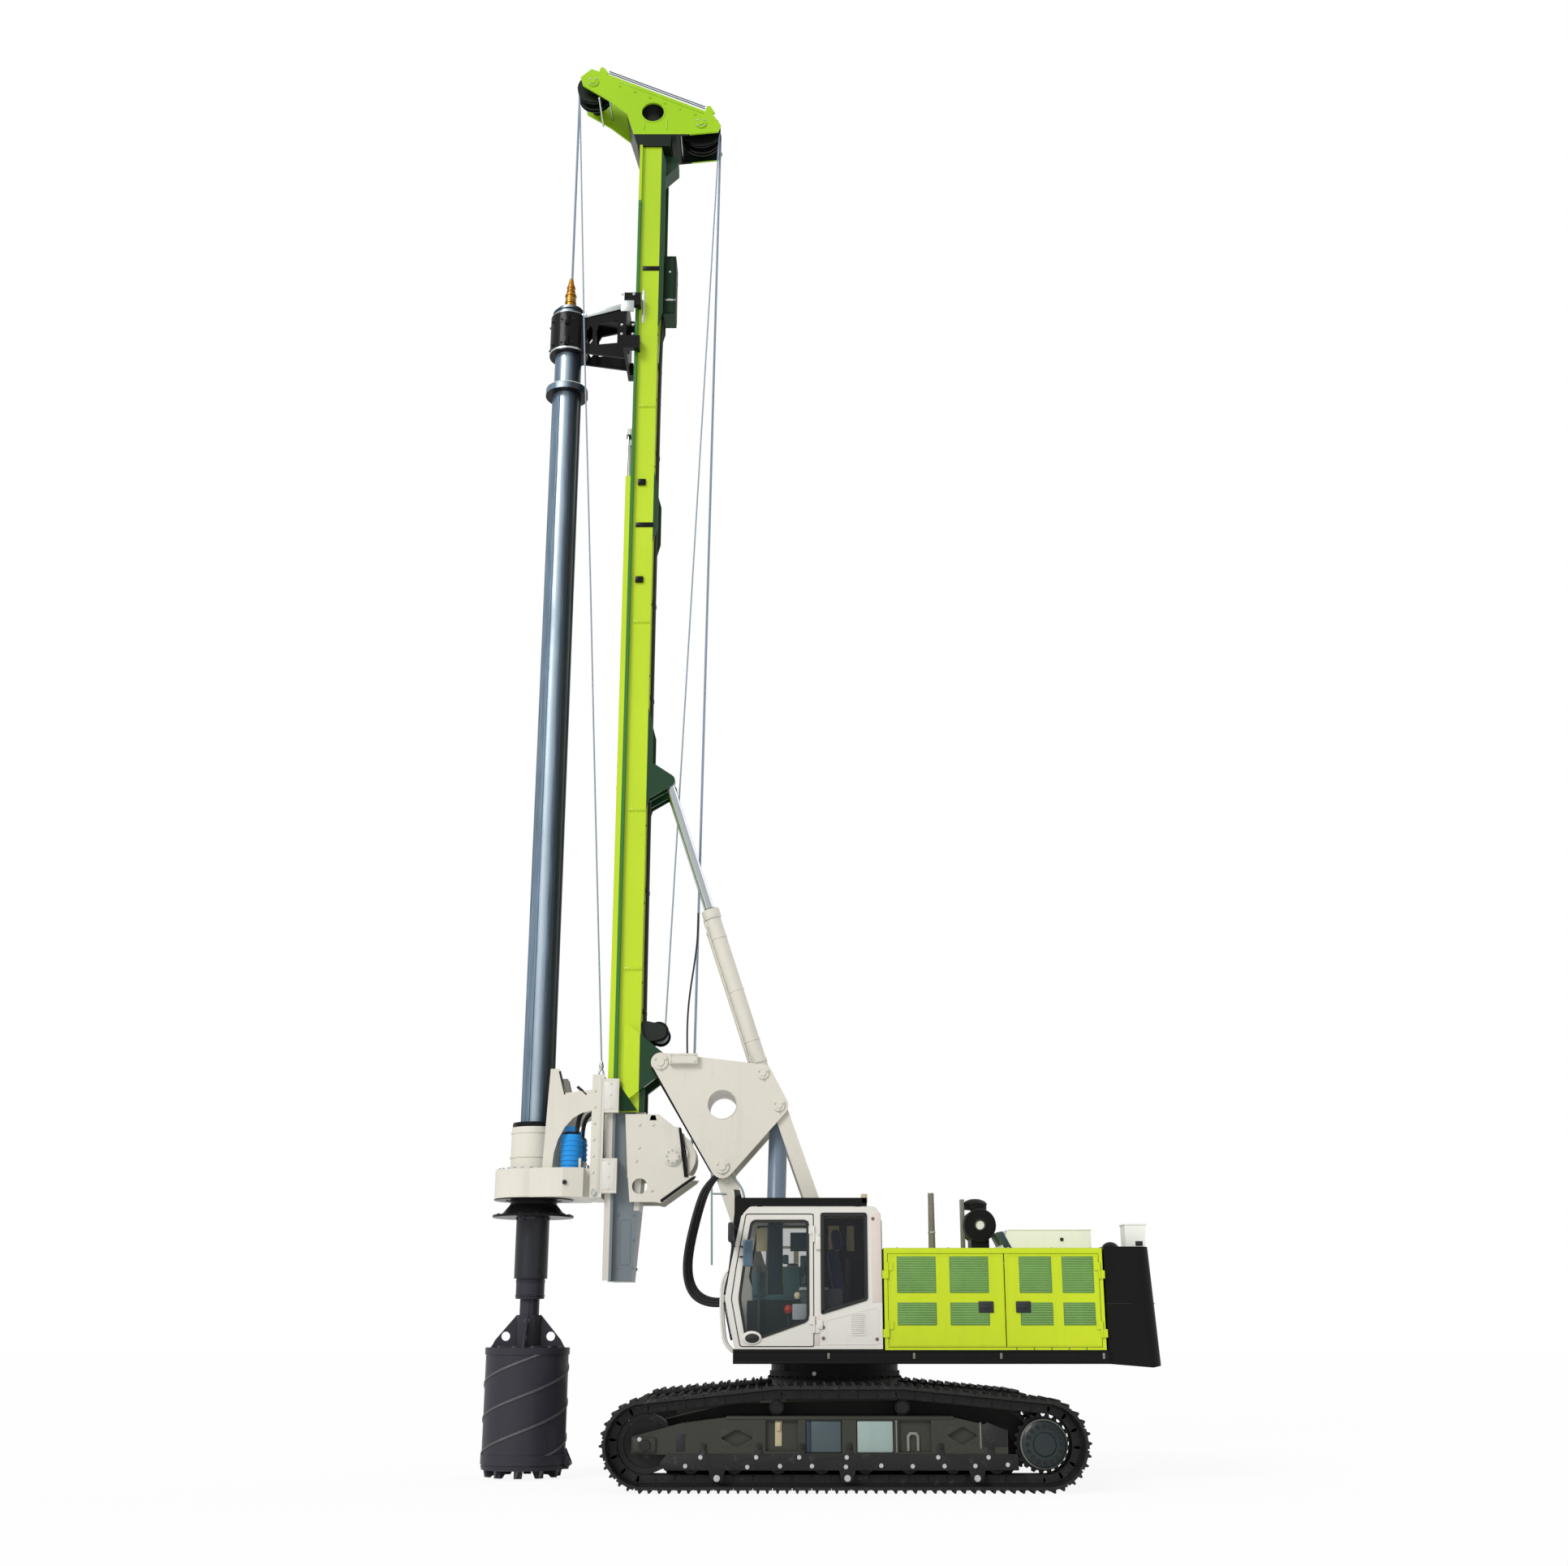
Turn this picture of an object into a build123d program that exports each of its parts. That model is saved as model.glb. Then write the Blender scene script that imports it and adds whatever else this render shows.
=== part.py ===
from build123d import *
import math
import os

# Rotary piling rig on tracks, standing with its mast upright and its tool just above the ground.
# Lengths are in millimetres. X points forward to the tool, Y to the machine's left, Z up.
# The sections below place each piece from the slewing axis; put() moves the whole rig so that
# the origin lies on the ground under the middle of its bounding box.

# Clearances shared by all moving pieces
pin_gap = 0.3
slide_gap = 0.5
swing_gap = 6.0
face_gap = 0.5

# Faces of round bars, plate ends and belts that repeat
pin_sides = 12
drum_sides = 24
race_sides = 48
arc_step = 15

# Undercarriage
track_centre_y = 1800
shoe_width = 800
shoe_count = 54
shoe_plate = 22
grouser_height = 33
chain_depth = 120
chain_width = 240
belt_radius = 435
idler_x = 2140
sprocket_x = -2245
carrier_x = 700
carrier_belt_z = 1075
carrier_radius = 85
roller_radius = 99.5
roller_count = 8
roller_first_x = -1720
roller_last_x = 1640
frame_width = 480
frame_bottom = 380
frame_top = 770
drive_plate = 50
idler_half_width = 90
idler_web = 50
frame_rear = -1840
frame_front = 1780
sprocket_teeth = 21
carbody_half_length = 900
carbody_half_width = 1000
beam_bottom = 470
beam_top = 830
slew_ring_radius = 790
slew_ring_bottom = 1130
slew_ring_height = 95
slew_ring_wall = 140
pocket_depth = 45

# Upper structure
deck_bottom = 1320
deck_top = 1470
deck_front = 1200
deck_rear = -3100
deck_half_width = 1500
deck_web = 60
deck_skin = 30
girder_y = 450
hood_front = -540
hood_rear = -3070
hood_top = 2600
hood_wall = 40
hood_split = -1930
hood_rail = 60
door_panel = 40
knuckle_radius = 13
knuckle_height = 90
hood_hinge_heights = (1700, 2350)
cab_hinge_heights = (1750, 2760)
weight_rear = -3720
weight_top_rear = -3640
weight_top = 2620
weight_bottom = 1280
weight_half_width = 1450
tank_front = 1120
tank_top = 2450
tank_inner_y = -560
engine_size = (1300, 850, 950)
engine_middle_x = -1850
filter_centre = (-1803, 2930)
filter_radius = 190
filter_half_length = 260
cover_front = -1965
cover_rear = -3050
cover_middle_y = 600
cover_height = 235
rear_box_height = 270
dome_radius = 120

# Cab
cab_width = 940
cab_outer_y = deck_half_width
cab_inner_y = cab_outer_y - cab_width
cab_wall = 50
cab_rear = -515
cab_bottom = 1478
cab_top = 3060
cab_door_rear = 270
cab_feet_front = 1050
glass_thickness = 8
guard_gap = 20
guard_height = 90
guard_rear = -353
guard_front = 1195

# Boom linkage: four pivots, a parallelogram that carries the triangle upright
boom_foot = (750, 1850)
link_foot = (50, 2600)
boom_head = (1380, 3620)
link_head = (680, 4370)
base_plate_inner = 400
base_plate_outer = 440
boom_lane = (250, 330)
boom_tube_share = 0.55
link_lane = (340, 390)
luff_lane = 165
pivot_pin = 60
link_pin = 45

# Mast and its hinge
mast_hinge = (2170, 4910)
mast_hinge_pin = 70
mast_cylinder_foot = (880, 4770)
mast_cylinder_eye = (2150, 8660)
mast_cylinder_lane = 230
triangle_window = (1390, 4385)
mast_rear = 2370
mast_core_rear = 2440
mast_core_front = 2720
mast_half_width = 320
mast_wall = 16
mast_bottom = 4300
mast_top = 18560
flange_front = 2760
flange_half_width = 380
strip_front = 2830
strip_inner = 300
strip_top = 13100
lower_mast_bottom = 2270
lower_mast_half_width = 300
winch_centre = (2000, mast_bottom - 550)
winch_half_length = 300
winch_flange_radius = 290
winch_stub = 60
aux_winch_centre = (2215, mast_bottom + 1030)
aux_winch_stub = 35
cable_box_bottom = 15800
cable_box_top = 16770

# Head at the mast's top
head_plate_outer = 350
head_plate = 30
front_sheave = (3500, 19700)
rear_sheave = (1860, 18960)
sheave_radius = 250
rear_sheave_radius = 290
sheave_axle = 45

# Rotary drive and kelly bar
kelly_x = 3750
drive_bottom = 3250
drive_top = 3600
drive_collar_top = 4130
drive_radius = 490
drive_arm_inner = 440
drive_arm_outer = 475
arch_reach = 470
arch_height = 700
sleeve_outer = 255
sleeve_inner = 225
sleeve_flange_radius = 500
sleeve_flange_bottom = 3030
sled_bottom = 3250
sled_top = 4750
sled_rear = 2875
sled_front = 2915
sled_half_width = 470
kelly_radius = 190
kelly_wall = 25
kelly_rib = 15
kelly_bottom = 2300
guide_bottom = 15180
guide_top = 15800
guide_ring_radius = 270
thrust_ring_z = 14550
thrust_ring_radius = 300
kelly_foot_top = 3000
inner_kelly_radius = 150
inner_kelly_wall = 30
swivel_top = 16500
neck_radius = 175
neck_bottom = 2060
bucket_radius = 500
bucket_band = 12
bucket_wall = 20
bucket_top = 1490
bucket_bottom = 165
bracket_top = 1870
bucket_hinge_pin = 16
crowd_x = 2812
crowd_barrel_radius = 45
crowd_rod_radius = 28
crowd_barrel_bottom = 8290
crowd_barrel_top = 14020

# The rig's ends along X give the origin
front_reach = kelly_x + bucket_radius + bucket_band
origin_x = (front_reach + weight_rear) / 2


def put(node, *solids):
    """Write one node, moved so that the origin is under the middle of the rig."""
    shape = solids[0] if len(solids) == 1 else Compound(children=[s for s in solids])
    os.makedirs("parts", exist_ok=True)
    export_step(Pos(-origin_x, 0, 0) * shape, f"parts/{node}.step")


def block(x0, x1, y0, y1, z0, z1):
    return Pos((x0 + x1) / 2, (y0 + y1) / 2, (z0 + z1) / 2) * Box(x1 - x0, y1 - y0, z1 - z0)


def upright(x, y, radius, z0, z1):
    """Round bar along Z."""
    return Pos(x, y, (z0 + z1) / 2) * Cylinder(radius, z1 - z0)


def cross_bar(place, radius, y0, y1):
    """Round bar along Y at a side-view place (x, z)."""
    return Pos(place[0], (y0 + y1) / 2, place[1]) * Rot(90, 0, 0) * Cylinder(radius, y1 - y0)


def bar_outline(radius, sides, round_bore=False):
    """Regular outline with its corners on the radius; round a bore its flats touch the radius there."""
    if round_bore:
        return RegularPolygon(radius / math.cos(math.pi / sides), sides, rotation=180 / sides)
    return RegularPolygon(radius, sides)


def faceted_bar(place, radius, y0, y1, sides=pin_sides, round_bore=False):
    """Bar along Y with flat faces, for parts that repeat."""
    plane = side_view(y1) * Pos(place[0], place[1])
    return extrude(plane * bar_outline(radius, sides, round_bore), y1 - y0)


def faceted_post(x, y, radius, z0, z1, sides=pin_sides, round_bore=False):
    """Upright bar with flat faces."""
    return extrude(Plane.XY.offset(z0) * Pos(x, y) * bar_outline(radius, sides, round_bore), z1 - z0)


def cone(x, y, low_radius, high_radius, z0, z1):
    """Round taper along Z."""
    return Pos(x, y, (z0 + z1) / 2) * Cone(low_radius, high_radius, z1 - z0)


def side_view(y):
    """Plane of a side view: its own x and y run along X and Z."""
    return Plane(origin=(0, y, 0), x_dir=(1, 0, 0), z_dir=(0, -1, 0))


def side_plate(points, y0, y1):
    """Plate from y0 to y1 whose side view is a polygon."""
    outline = make_face(Polyline(*points, close=True))
    return extrude(side_view(y1) * outline, y1 - y0)


def top_plate(points, z0, z1):
    """Plate from z0 to z1 whose top view is a polygon."""
    return extrude(Plane.XY.offset(z0) * make_face(Polyline(*points, close=True)), z1 - z0)


def both_sides(piece):
    """A piece on the left and its mirror image on the right."""
    return [piece, mirror(piece, about=Plane.XZ)]


def belt_runs(circles):
    """Straight runs of a belt round circles (x, z, radius), each as (start, end, angle)."""
    runs = []
    for (x0, z0, r0), (x1, z1, r1) in zip(circles, circles[1:] + circles[:1]):
        angle = math.atan2(z1 - z0, x1 - x0) + math.asin((r0 - r1) / math.hypot(x1 - x0, z1 - z0))
        out_x = math.sin(angle)
        out_z = -math.cos(angle)
        start = (x0 + r0 * out_x, z0 + r0 * out_z)
        end = (x1 + r1 * out_x, z1 + r1 * out_z)
        runs.append((start, end, angle))
    return runs


def belt_face(circles, inside=False):
    """Outline of straight runs and short chords round circles; inside, the chords touch the circles."""
    runs = belt_runs(circles)
    points = []
    for i, (_, _, angle) in enumerate(runs):
        x, z, radius = circles[(i + 1) % len(circles)]
        turn = (runs[(i + 1) % len(runs)][2] - angle) % (2 * math.pi)
        chords = max(1, round(math.degrees(turn) / arc_step))
        reach = radius / math.cos(turn / chords / 2) if inside else radius
        shares = [k + 0.5 for k in range(chords)] if inside else range(chords + 1)
        for share in shares:
            here = angle + turn * share / chords
            points.append((x + reach * math.sin(here), z - reach * math.cos(here)))
    return make_face(Polyline(*points, close=True))


def hull_plate(circles, y0, y1):
    """Plate from y0 to y1 whose side view is a belt round circles."""
    return extrude(side_view(y1) * belt_face(circles), y1 - y0)


def bar_between(start, end, radius, y, from_start=0, to_end=0, sides=0):
    """Bar between two places of a side view, cut short at its ends; round unless sides are given."""
    length = math.dist(start, end)
    direction = ((end[0] - start[0]) / length, 0, (end[1] - start[1]) / length)
    axis = Plane(origin=(start[0], y, start[1]), z_dir=direction)
    span = length - from_start - to_end
    if sides:
        return extrude(axis * Pos(0, 0, from_start) * bar_outline(radius, sides, True), span)
    return axis * Pos(0, 0, from_start + span / 2) * Cylinder(radius, span)


# Undercarriage

belt_circles = [
    (sprocket_x, grouser_height + shoe_plate + belt_radius, belt_radius),
    (idler_x, grouser_height + shoe_plate + belt_radius, belt_radius),
    (carrier_x, carrier_belt_z - chain_depth - carrier_radius, chain_depth + carrier_radius),
    (-carrier_x, carrier_belt_z - chain_depth - carrier_radius, chain_depth + carrier_radius),
]
axle_z = belt_circles[0][1]
wheel_radius = belt_radius - chain_depth - face_gap


def belt_place(distance):
    """Point of the track belt at a distance along it, and the belt's angle there."""
    runs = belt_runs(belt_circles)
    for i, (start, end, angle) in enumerate(runs):
        run = math.dist(start, end)
        if distance <= run:
            share = distance / run
            return (start[0] + (end[0] - start[0]) * share, start[1] + (end[1] - start[1]) * share), angle
        distance -= run
        x, z, radius = belt_circles[(i + 1) % len(belt_circles)]
        turn = (runs[(i + 1) % len(runs)][2] - angle) % (2 * math.pi)
        if distance <= turn * radius:
            here = angle + distance / radius
            return (x + radius * math.sin(here), z - radius * math.cos(here)), here
        distance -= turn * radius
    return runs[0][0], runs[0][2]


def belt_length():
    """Whole length of the track belt."""
    runs = belt_runs(belt_circles)
    total = sum(math.dist(start, end) for start, end, _ in runs)
    for i, (_, _, angle) in enumerate(runs):
        radius = belt_circles[(i + 1) % len(belt_circles)][2]
        total += radius * ((runs[(i + 1) % len(runs)][2] - angle) % (2 * math.pi))
    return total


def inner_belt(depth):
    """Outline of the belt, a depth inside its line."""
    return belt_face([(x, z, radius - depth) for x, z, radius in belt_circles], inside=True)


def track_loop(centre_y):
    """Shoes with two grousers each on a closed chain."""
    pitch = belt_length() / shoe_count
    seam = 8
    half = pitch / 2 - seam / 2
    grouser_place = pitch * 0.24
    grouser_base = 20
    grouser_tip = 9
    over = shoe_plate + grouser_height
    profile = [(-half, 0), (-half, shoe_plate)]
    for place in (-grouser_place, grouser_place):
        profile += [
            (place - grouser_base, shoe_plate),
            (place - grouser_tip, over),
            (place + grouser_tip, over),
            (place + grouser_base, shoe_plate),
        ]
    profile += [(half, shoe_plate), (half, 0)]
    points = []
    for i in range(shoe_count):
        (x, z), angle = belt_place((i + 0.5) * pitch)
        for along, out in profile:
            points.append(
                (
                    x + along * math.cos(angle) + out * math.sin(angle),
                    z + along * math.sin(angle) - out * math.cos(angle),
                )
            )
    shoe_back = 10
    outer = make_face(Polyline(*points, close=True))
    strip = extrude(side_view(centre_y + shoe_width / 2) * (outer - inner_belt(shoe_back)), shoe_width)
    chain = extrude(
        side_view(centre_y + chain_width / 2) * (inner_belt(shoe_back) - inner_belt(chain_depth)),
        chain_width,
    )
    return strip + chain


# Pockets in the outer face of each side frame: rear end, front end, bottom, top
frame_pockets = (
    (-1500, -1190, 494, 670),
    (-1000, -640, 410, 740),
    (-590, -180, 400, 740),
    (-20, 380, 400, 740),
    (465, 820, 420, 740),
    (965, 1300, 470, 640),
)


def track_frame():
    """Left side frame: a box beam with pockets, a fork for the idler and a plate for the drive."""
    y0 = track_centre_y - frame_width / 2
    y1 = track_centre_y + frame_width / 2
    beam = side_plate(
        [
            (frame_rear, frame_bottom),
            (frame_front, frame_bottom),
            (2290, frame_bottom + 20),
            (2290, 570),
            (frame_front, 700),
            (1250, frame_top),
            (-1250, frame_top),
            (frame_rear, 640),
        ],
        y0,
        y1,
    )
    fork_half = idler_half_width + 40
    beam -= block(frame_front - 20, 2400, track_centre_y - fork_half, track_centre_y + fork_half, 300, 900)
    for rear, front, bottom, top in frame_pockets:
        beam -= block(rear, front, y1 - pocket_depth, y1 + 1, bottom, top)
    return beam + hull_plate([(-1700, 560, 180), (sprocket_x, axle_z, 250)], y0, y0 + drive_plate)


def drive_sprocket():
    """Toothed ring on the drum of the final drive."""
    root = wheel_radius - 30
    points = []
    for i in range(sprocket_teeth):
        for share, reach in ((-0.32, root), (-0.16, wheel_radius), (0.16, wheel_radius), (0.32, root)):
            turn = 2 * math.pi * (i + share) / sprocket_teeth
            points.append((sprocket_x + reach * math.cos(turn), axle_z + reach * math.sin(turn)))
    ring = side_plate(points, track_centre_y - 35, track_centre_y + 35)
    inner_y = track_centre_y - frame_width / 2 + drive_plate
    centre = (sprocket_x, axle_z)
    drum = faceted_bar(centre, root - 25, inner_y, track_centre_y + 150, drum_sides)
    cover = faceted_bar(centre, 170, track_centre_y + 150, track_centre_y + 200, drum_sides)
    return ring + drum + cover


def front_idler():
    """Idler wheel with its axle between the fork's arms."""
    centre = (idler_x, axle_z)
    half = idler_half_width
    wheel = faceted_bar(centre, wheel_radius, track_centre_y - half, track_centre_y + half, drum_sides)
    for floor in (track_centre_y - half, track_centre_y + idler_web):
        wheel -= faceted_bar(centre, wheel_radius - 60, floor, floor + half - idler_web, drum_sides)
    hub = faceted_bar(centre, 110, track_centre_y - half - 20, track_centre_y + half + 20, drum_sides)
    axle = faceted_bar(centre, 55, track_centre_y - half - 40, track_centre_y + half + 40)
    return wheel + hub + axle


def track_rollers():
    """Bottom rollers under the beam and two carrier rollers above it."""
    rollers = []
    step = (roller_last_x - roller_first_x) / (roller_count - 1)
    for i in range(roller_count):
        x = roller_first_x + i * step
        z = grouser_height + shoe_plate + chain_depth + roller_radius + face_gap
        roller = faceted_bar((x, z), roller_radius, track_centre_y - 100, track_centre_y + 100)
        for side in (-1, 1):
            y = track_centre_y + side * 135
            roller += block(x - 70, x + 70, y - 35, y + 35, z - 50, frame_bottom)
        rollers.append(roller)
    for x in (-carrier_x, carrier_x):
        z = carrier_belt_z - chain_depth - carrier_radius
        carrier = faceted_bar((x, z), carrier_radius - face_gap, track_centre_y - 80, track_centre_y + 80)
        carrier += block(x - 50, x + 50, track_centre_y - 140, track_centre_y - 80, frame_top, z + 50)
        rollers.append(carrier)
    return rollers


def car_body():
    """Centre frame with two cross beams that carry the side frames."""
    side_y = track_centre_y - frame_width / 2
    centre = top_plate(
        [
            (-carbody_half_length, -600),
            (-600, -carbody_half_width),
            (600, -carbody_half_width),
            (carbody_half_length, -600),
            (carbody_half_length, 600),
            (600, carbody_half_width),
            (-600, carbody_half_width),
            (-carbody_half_length, 600),
        ],
        480,
        960,
    )
    drum = faceted_post(0, 0, slew_ring_radius - 30, 900, slew_ring_bottom, race_sides)
    beams = [block(x - 190, x + 190, -side_y, side_y, beam_bottom, beam_top) for x in (-640, 640)]
    return centre + drum + beams


def slew_ring():
    top = slew_ring_bottom + slew_ring_height
    ring = upright(0, 0, slew_ring_radius, slew_ring_bottom, top)
    return ring - faceted_post(0, 0, slew_ring_radius - slew_ring_wall, slew_ring_bottom, top, race_sides)


# Upper structure


def deck_frame():
    """Platform with webs under its skin and the upper race of the slewing ring."""
    deck = block(deck_rear, deck_front, -deck_half_width, deck_half_width, deck_bottom, deck_top)
    race_bottom = slew_ring_bottom + slew_ring_height + face_gap
    race = faceted_post(0, 0, slew_ring_radius - 20, race_bottom, deck_bottom, race_sides)
    spans_x = [(deck_rear, -2300), (-2300, -1500), (-1500, -820), (820, deck_front)]
    spans_y = [(-deck_half_width, -girder_y), (-girder_y, girder_y), (girder_y, deck_half_width)]
    for x0, x1 in spans_x:
        for y0, y1 in spans_y:
            deck -= block(
                x0 + deck_web / 2,
                x1 - deck_web / 2,
                y0 + deck_web / 2,
                y1 - deck_web / 2,
                deck_bottom - 1,
                deck_top - deck_skin,
            )
    for x in (cab_rear + 120, cab_feet_front):
        for y in (cab_inner_y + 90, cab_outer_y - 90):
            deck += faceted_post(x, y, 60, deck_top, cab_bottom)
    return deck + race


def boom_foot_bracket():
    """Two upright plates with the pins of the boom and of the rear links."""
    plates = []
    for y0, y1 in ((base_plate_inner, base_plate_outer), (-base_plate_outer, -base_plate_inner)):
        plates.append(
            hull_plate(
                [(-330, deck_top + 70, 70), (960, deck_top + 70, 70), (*boom_foot, 130), (*link_foot, 120)],
                y0,
                y1,
            )
        )
    long_pin = cross_bar(boom_foot, pivot_pin, -base_plate_outer, base_plate_outer)
    link_pins = cross_bar(link_foot, link_pin, -base_plate_outer, base_plate_outer)
    tie = block(-330, -250, -base_plate_inner, base_plate_inner, deck_top, deck_top + 420)
    return plates[0] + plates[1] + long_pin + link_pins + tie


cab_outline = [
    (1182, cab_bottom),
    (1298, 2033),
    (1236, 2393),
    (1115, 2960),
    (1020, cab_top),
    (-430, cab_top),
    (cab_rear, 2960),
    (cab_rear, cab_bottom),
]
cab_inside = [
    (1182 - cab_wall, cab_bottom + cab_wall),
    (1298 - cab_wall, 2033),
    (1236 - cab_wall, 2393),
    (1115 - cab_wall, 2940),
    (1000, cab_top - cab_wall),
    (-410, cab_top - cab_wall),
    (cab_rear + cab_wall, 2940),
    (cab_rear + cab_wall, cab_bottom + cab_wall),
]
door_outline = [
    (cab_door_rear, 1510),
    (1120, 1510),
    (1225, 2033),
    (1170, 2393),
    (1060, 2985),
    (cab_door_rear, 2985),
]
door_window = [
    (cab_door_rear + 60, 1800),
    (900, 1600),
    (1050, 1600),
    (1130, 2033),
    (1080, 2393),
    (990, 2905),
    (cab_door_rear + 60, 2905),
]
rear_side_window = [(178, 1880), (178, 2985), (-340, 2985), (-340, 2030)]
right_window = [(-340, 2030), (950, 2030), (1040, 2300), (940, 2905), (-340, 2905)]
windscreen_frame = 60


def knuckle(x, wall_y, side, z):
    """Hinge knuckle outside a wall, with its leaf towards +X (side 1) or -X (side -1)."""
    leaf_end = x + side * 60
    leaf = block(min(x, leaf_end), max(x, leaf_end), wall_y, wall_y + knuckle_radius, z, z + knuckle_height)
    return leaf + upright(x, wall_y + knuckle_radius, knuckle_radius, z, z + knuckle_height)


def cab_shell():
    """Hollow cab with its windows and its doorway cut."""
    shell = side_plate(cab_outline, cab_inner_y, cab_outer_y)
    shell -= side_plate(cab_inside, cab_inner_y + cab_wall, cab_outer_y - cab_wall)
    shell -= side_plate(door_outline, cab_outer_y - cab_wall - 1, cab_outer_y + 1)
    shell -= side_plate(rear_side_window, cab_outer_y - cab_wall - 1, cab_outer_y + 1)
    shell -= side_plate(right_window, cab_inner_y - 1, cab_inner_y + cab_wall + 1)
    y0 = cab_inner_y + windscreen_frame
    y1 = cab_outer_y - windscreen_frame
    shell -= side_plate([(900, 2100), (1400, 2100), (1400, 2900), (900, 2900)], y0, y1)
    shell -= side_plate([(900, 1600), (1400, 1600), (1400, 1980), (900, 1980)], y0, y1)
    shell -= block(cab_rear - 1, cab_rear + cab_wall + 1, y0, y1, 2300, 2900)
    for z in cab_hinge_heights:
        shell += knuckle(cab_door_rear, cab_outer_y, -1, z - knuckle_height - slide_gap)
    return shell


def cab_glass():
    """Fixed panes: windscreen in two parts, rear, right and left rear side windows."""
    middle = cab_wall / 2
    y0 = cab_inner_y + windscreen_frame
    y1 = cab_outer_y - windscreen_frame
    left_y = cab_outer_y - middle
    right_y = cab_inner_y + middle
    panes = [side_plate(rear_side_window, left_y - glass_thickness / 2, left_y + glass_thickness / 2)]
    panes.append(side_plate(right_window, right_y - glass_thickness / 2, right_y + glass_thickness / 2))
    rear_x = cab_rear + middle
    panes.append(block(rear_x, rear_x + glass_thickness, y0, y1, 2300, 2900))

    def front_x(z, inset):
        for (xa, za), (xb, zb) in zip(cab_outline, cab_outline[1:]):
            if za <= z <= zb:
                return xa + (xb - xa) * (z - za) / (zb - za) - inset
        return 0

    outer = 15
    inner = outer + glass_thickness
    for z0, z1, bends in ((2100, 2900, [2393]), (1600, 1980, [])):
        levels = [z0] + bends + [z1]
        points = [(front_x(z, outer), z) for z in levels] + [(front_x(z, inner), z) for z in levels[::-1]]
        panes.append(side_plate(points, y0, y1))
    return panes


def cab_door():
    """Door with its window cut; it hangs at its rear edge."""
    inset = swing_gap
    outline = [
        (cab_door_rear + inset, 1510 + inset),
        (1120 - inset, 1510 + inset),
        (1225 - inset, 2033),
        (1170 - inset, 2393),
        (1060 - inset, 2985 - inset),
        (cab_door_rear + inset, 2985 - inset),
    ]
    panel = side_plate(outline, cab_outer_y - cab_wall + 5, cab_outer_y)
    panel -= side_plate(door_window, cab_outer_y - cab_wall - 1, cab_outer_y + 1)
    for z in cab_hinge_heights:
        panel += knuckle(cab_door_rear, cab_outer_y, 1, z)
    return panel


def cab_door_glass():
    y = cab_outer_y - cab_wall / 2 + 5
    return side_plate(door_window, y - glass_thickness / 2, y + glass_thickness / 2)


def roof_guard():
    """Bars over the cab's roof, with brackets that run down over its front corners."""
    low = cab_top + guard_gap
    high = low + guard_height
    frame = block(guard_rear, guard_front, cab_inner_y, cab_outer_y, low, high)
    frame -= block(guard_rear + 50, guard_front - 50, cab_inner_y + 50, cab_outer_y - 50, low - 1, high + 1)
    for x in range(guard_rear + 170, guard_front - 90, 160):
        frame += block(x - 20, x + 20, cab_inner_y, cab_outer_y, low + 30, low + 60)
    corner = [
        (guard_front - 160, low),
        (guard_front, low),
        (guard_front, 2990),
        (guard_front + 30, 2740),
        (guard_front - 10, 2740),
        (guard_front - 80, 2990),
    ]
    for y in (cab_inner_y, cab_outer_y - 40):
        frame += side_plate(corner, y, y + 40)
    for x in (-250, 900):
        for y in (cab_inner_y + 40, cab_outer_y - 40):
            frame += block(x - 30, x + 30, y - 30, y + 30, cab_top, low)
    return frame


def operator_seat():
    floor = cab_bottom + cab_wall
    y = (cab_inner_y + cab_outer_y) / 2
    base = block(-100, 350, y - 180, y + 180, floor, floor + 330)
    cushion = block(-120, 400, y - 250, y + 250, floor + 330, floor + 460)
    back_outline = [(-120, floor + 460), (20, floor + 460), (-80, floor + 1080), (-200, floor + 1080)]
    back = side_plate(back_outline, y - 240, y + 240)
    head = block(-210, -100, y - 140, y + 140, floor + 1080, floor + 1260)
    return base + cushion + back + head


def control_consoles():
    """Side consoles with levers, and the screen on its stand."""
    floor = cab_bottom + cab_wall
    y = (cab_inner_y + cab_outer_y) / 2
    consoles = []
    for side in (-1, 1):
        middle = y + side * 330
        console = block(-60, 420, middle - 60, middle + 60, floor, floor + 620)
        consoles.append(console + faceted_post(370, middle, 18, floor + 620, floor + 800))
    stand = block(905, 935, y - 330, y - 290, floor, floor + 700)
    screen = block(900, 940, y - 420, y - 200, floor + 700, floor + 900)
    return consoles + [stand + screen]


def hood_shell():
    """Engine housing: roof, ends and the frames that the side doors close."""
    z0 = deck_top
    shell = block(hood_rear, hood_front, -deck_half_width, deck_half_width, z0, hood_top)
    rear = hood_rear + hood_wall
    front = hood_front - hood_wall
    inner_y = deck_half_width - hood_rail
    outer_y = deck_half_width + 1
    shell -= block(rear, front, -inner_y, inner_y, z0 - 1, hood_top - hood_wall)
    shell -= block(rear, front, -outer_y, outer_y, z0 + hood_rail / 2, hood_top - hood_rail)
    for x, side in ((front, 1), (rear, -1)):
        for z in hood_hinge_heights:
            for piece in both_sides(knuckle(x, deck_half_width, side, z - knuckle_height - slide_gap)):
                shell += piece
    return shell


# Rows of the hood's grilles: bottom, top, number of slots
grille_rows = ((1747, 1988, 3), (2104, 2500, 5))

# Columns of grilles in the front and the rear door: rear end, front end
front_door_grilles = ((-1134, -694), (-1742, -1302))
rear_door_grilles = ((-2472, -2107), (-2958, -2603))


def grille_slots(x0, x1, z0, z1, count):
    """Slots of one grille, as solids to cut."""
    pitch = (z1 - z0) / count
    reach = deck_half_width + 1
    return [block(x0, x1, 0, reach, z0 + i * pitch, z0 + (i + 0.55) * pitch) for i in range(count)]


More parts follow.
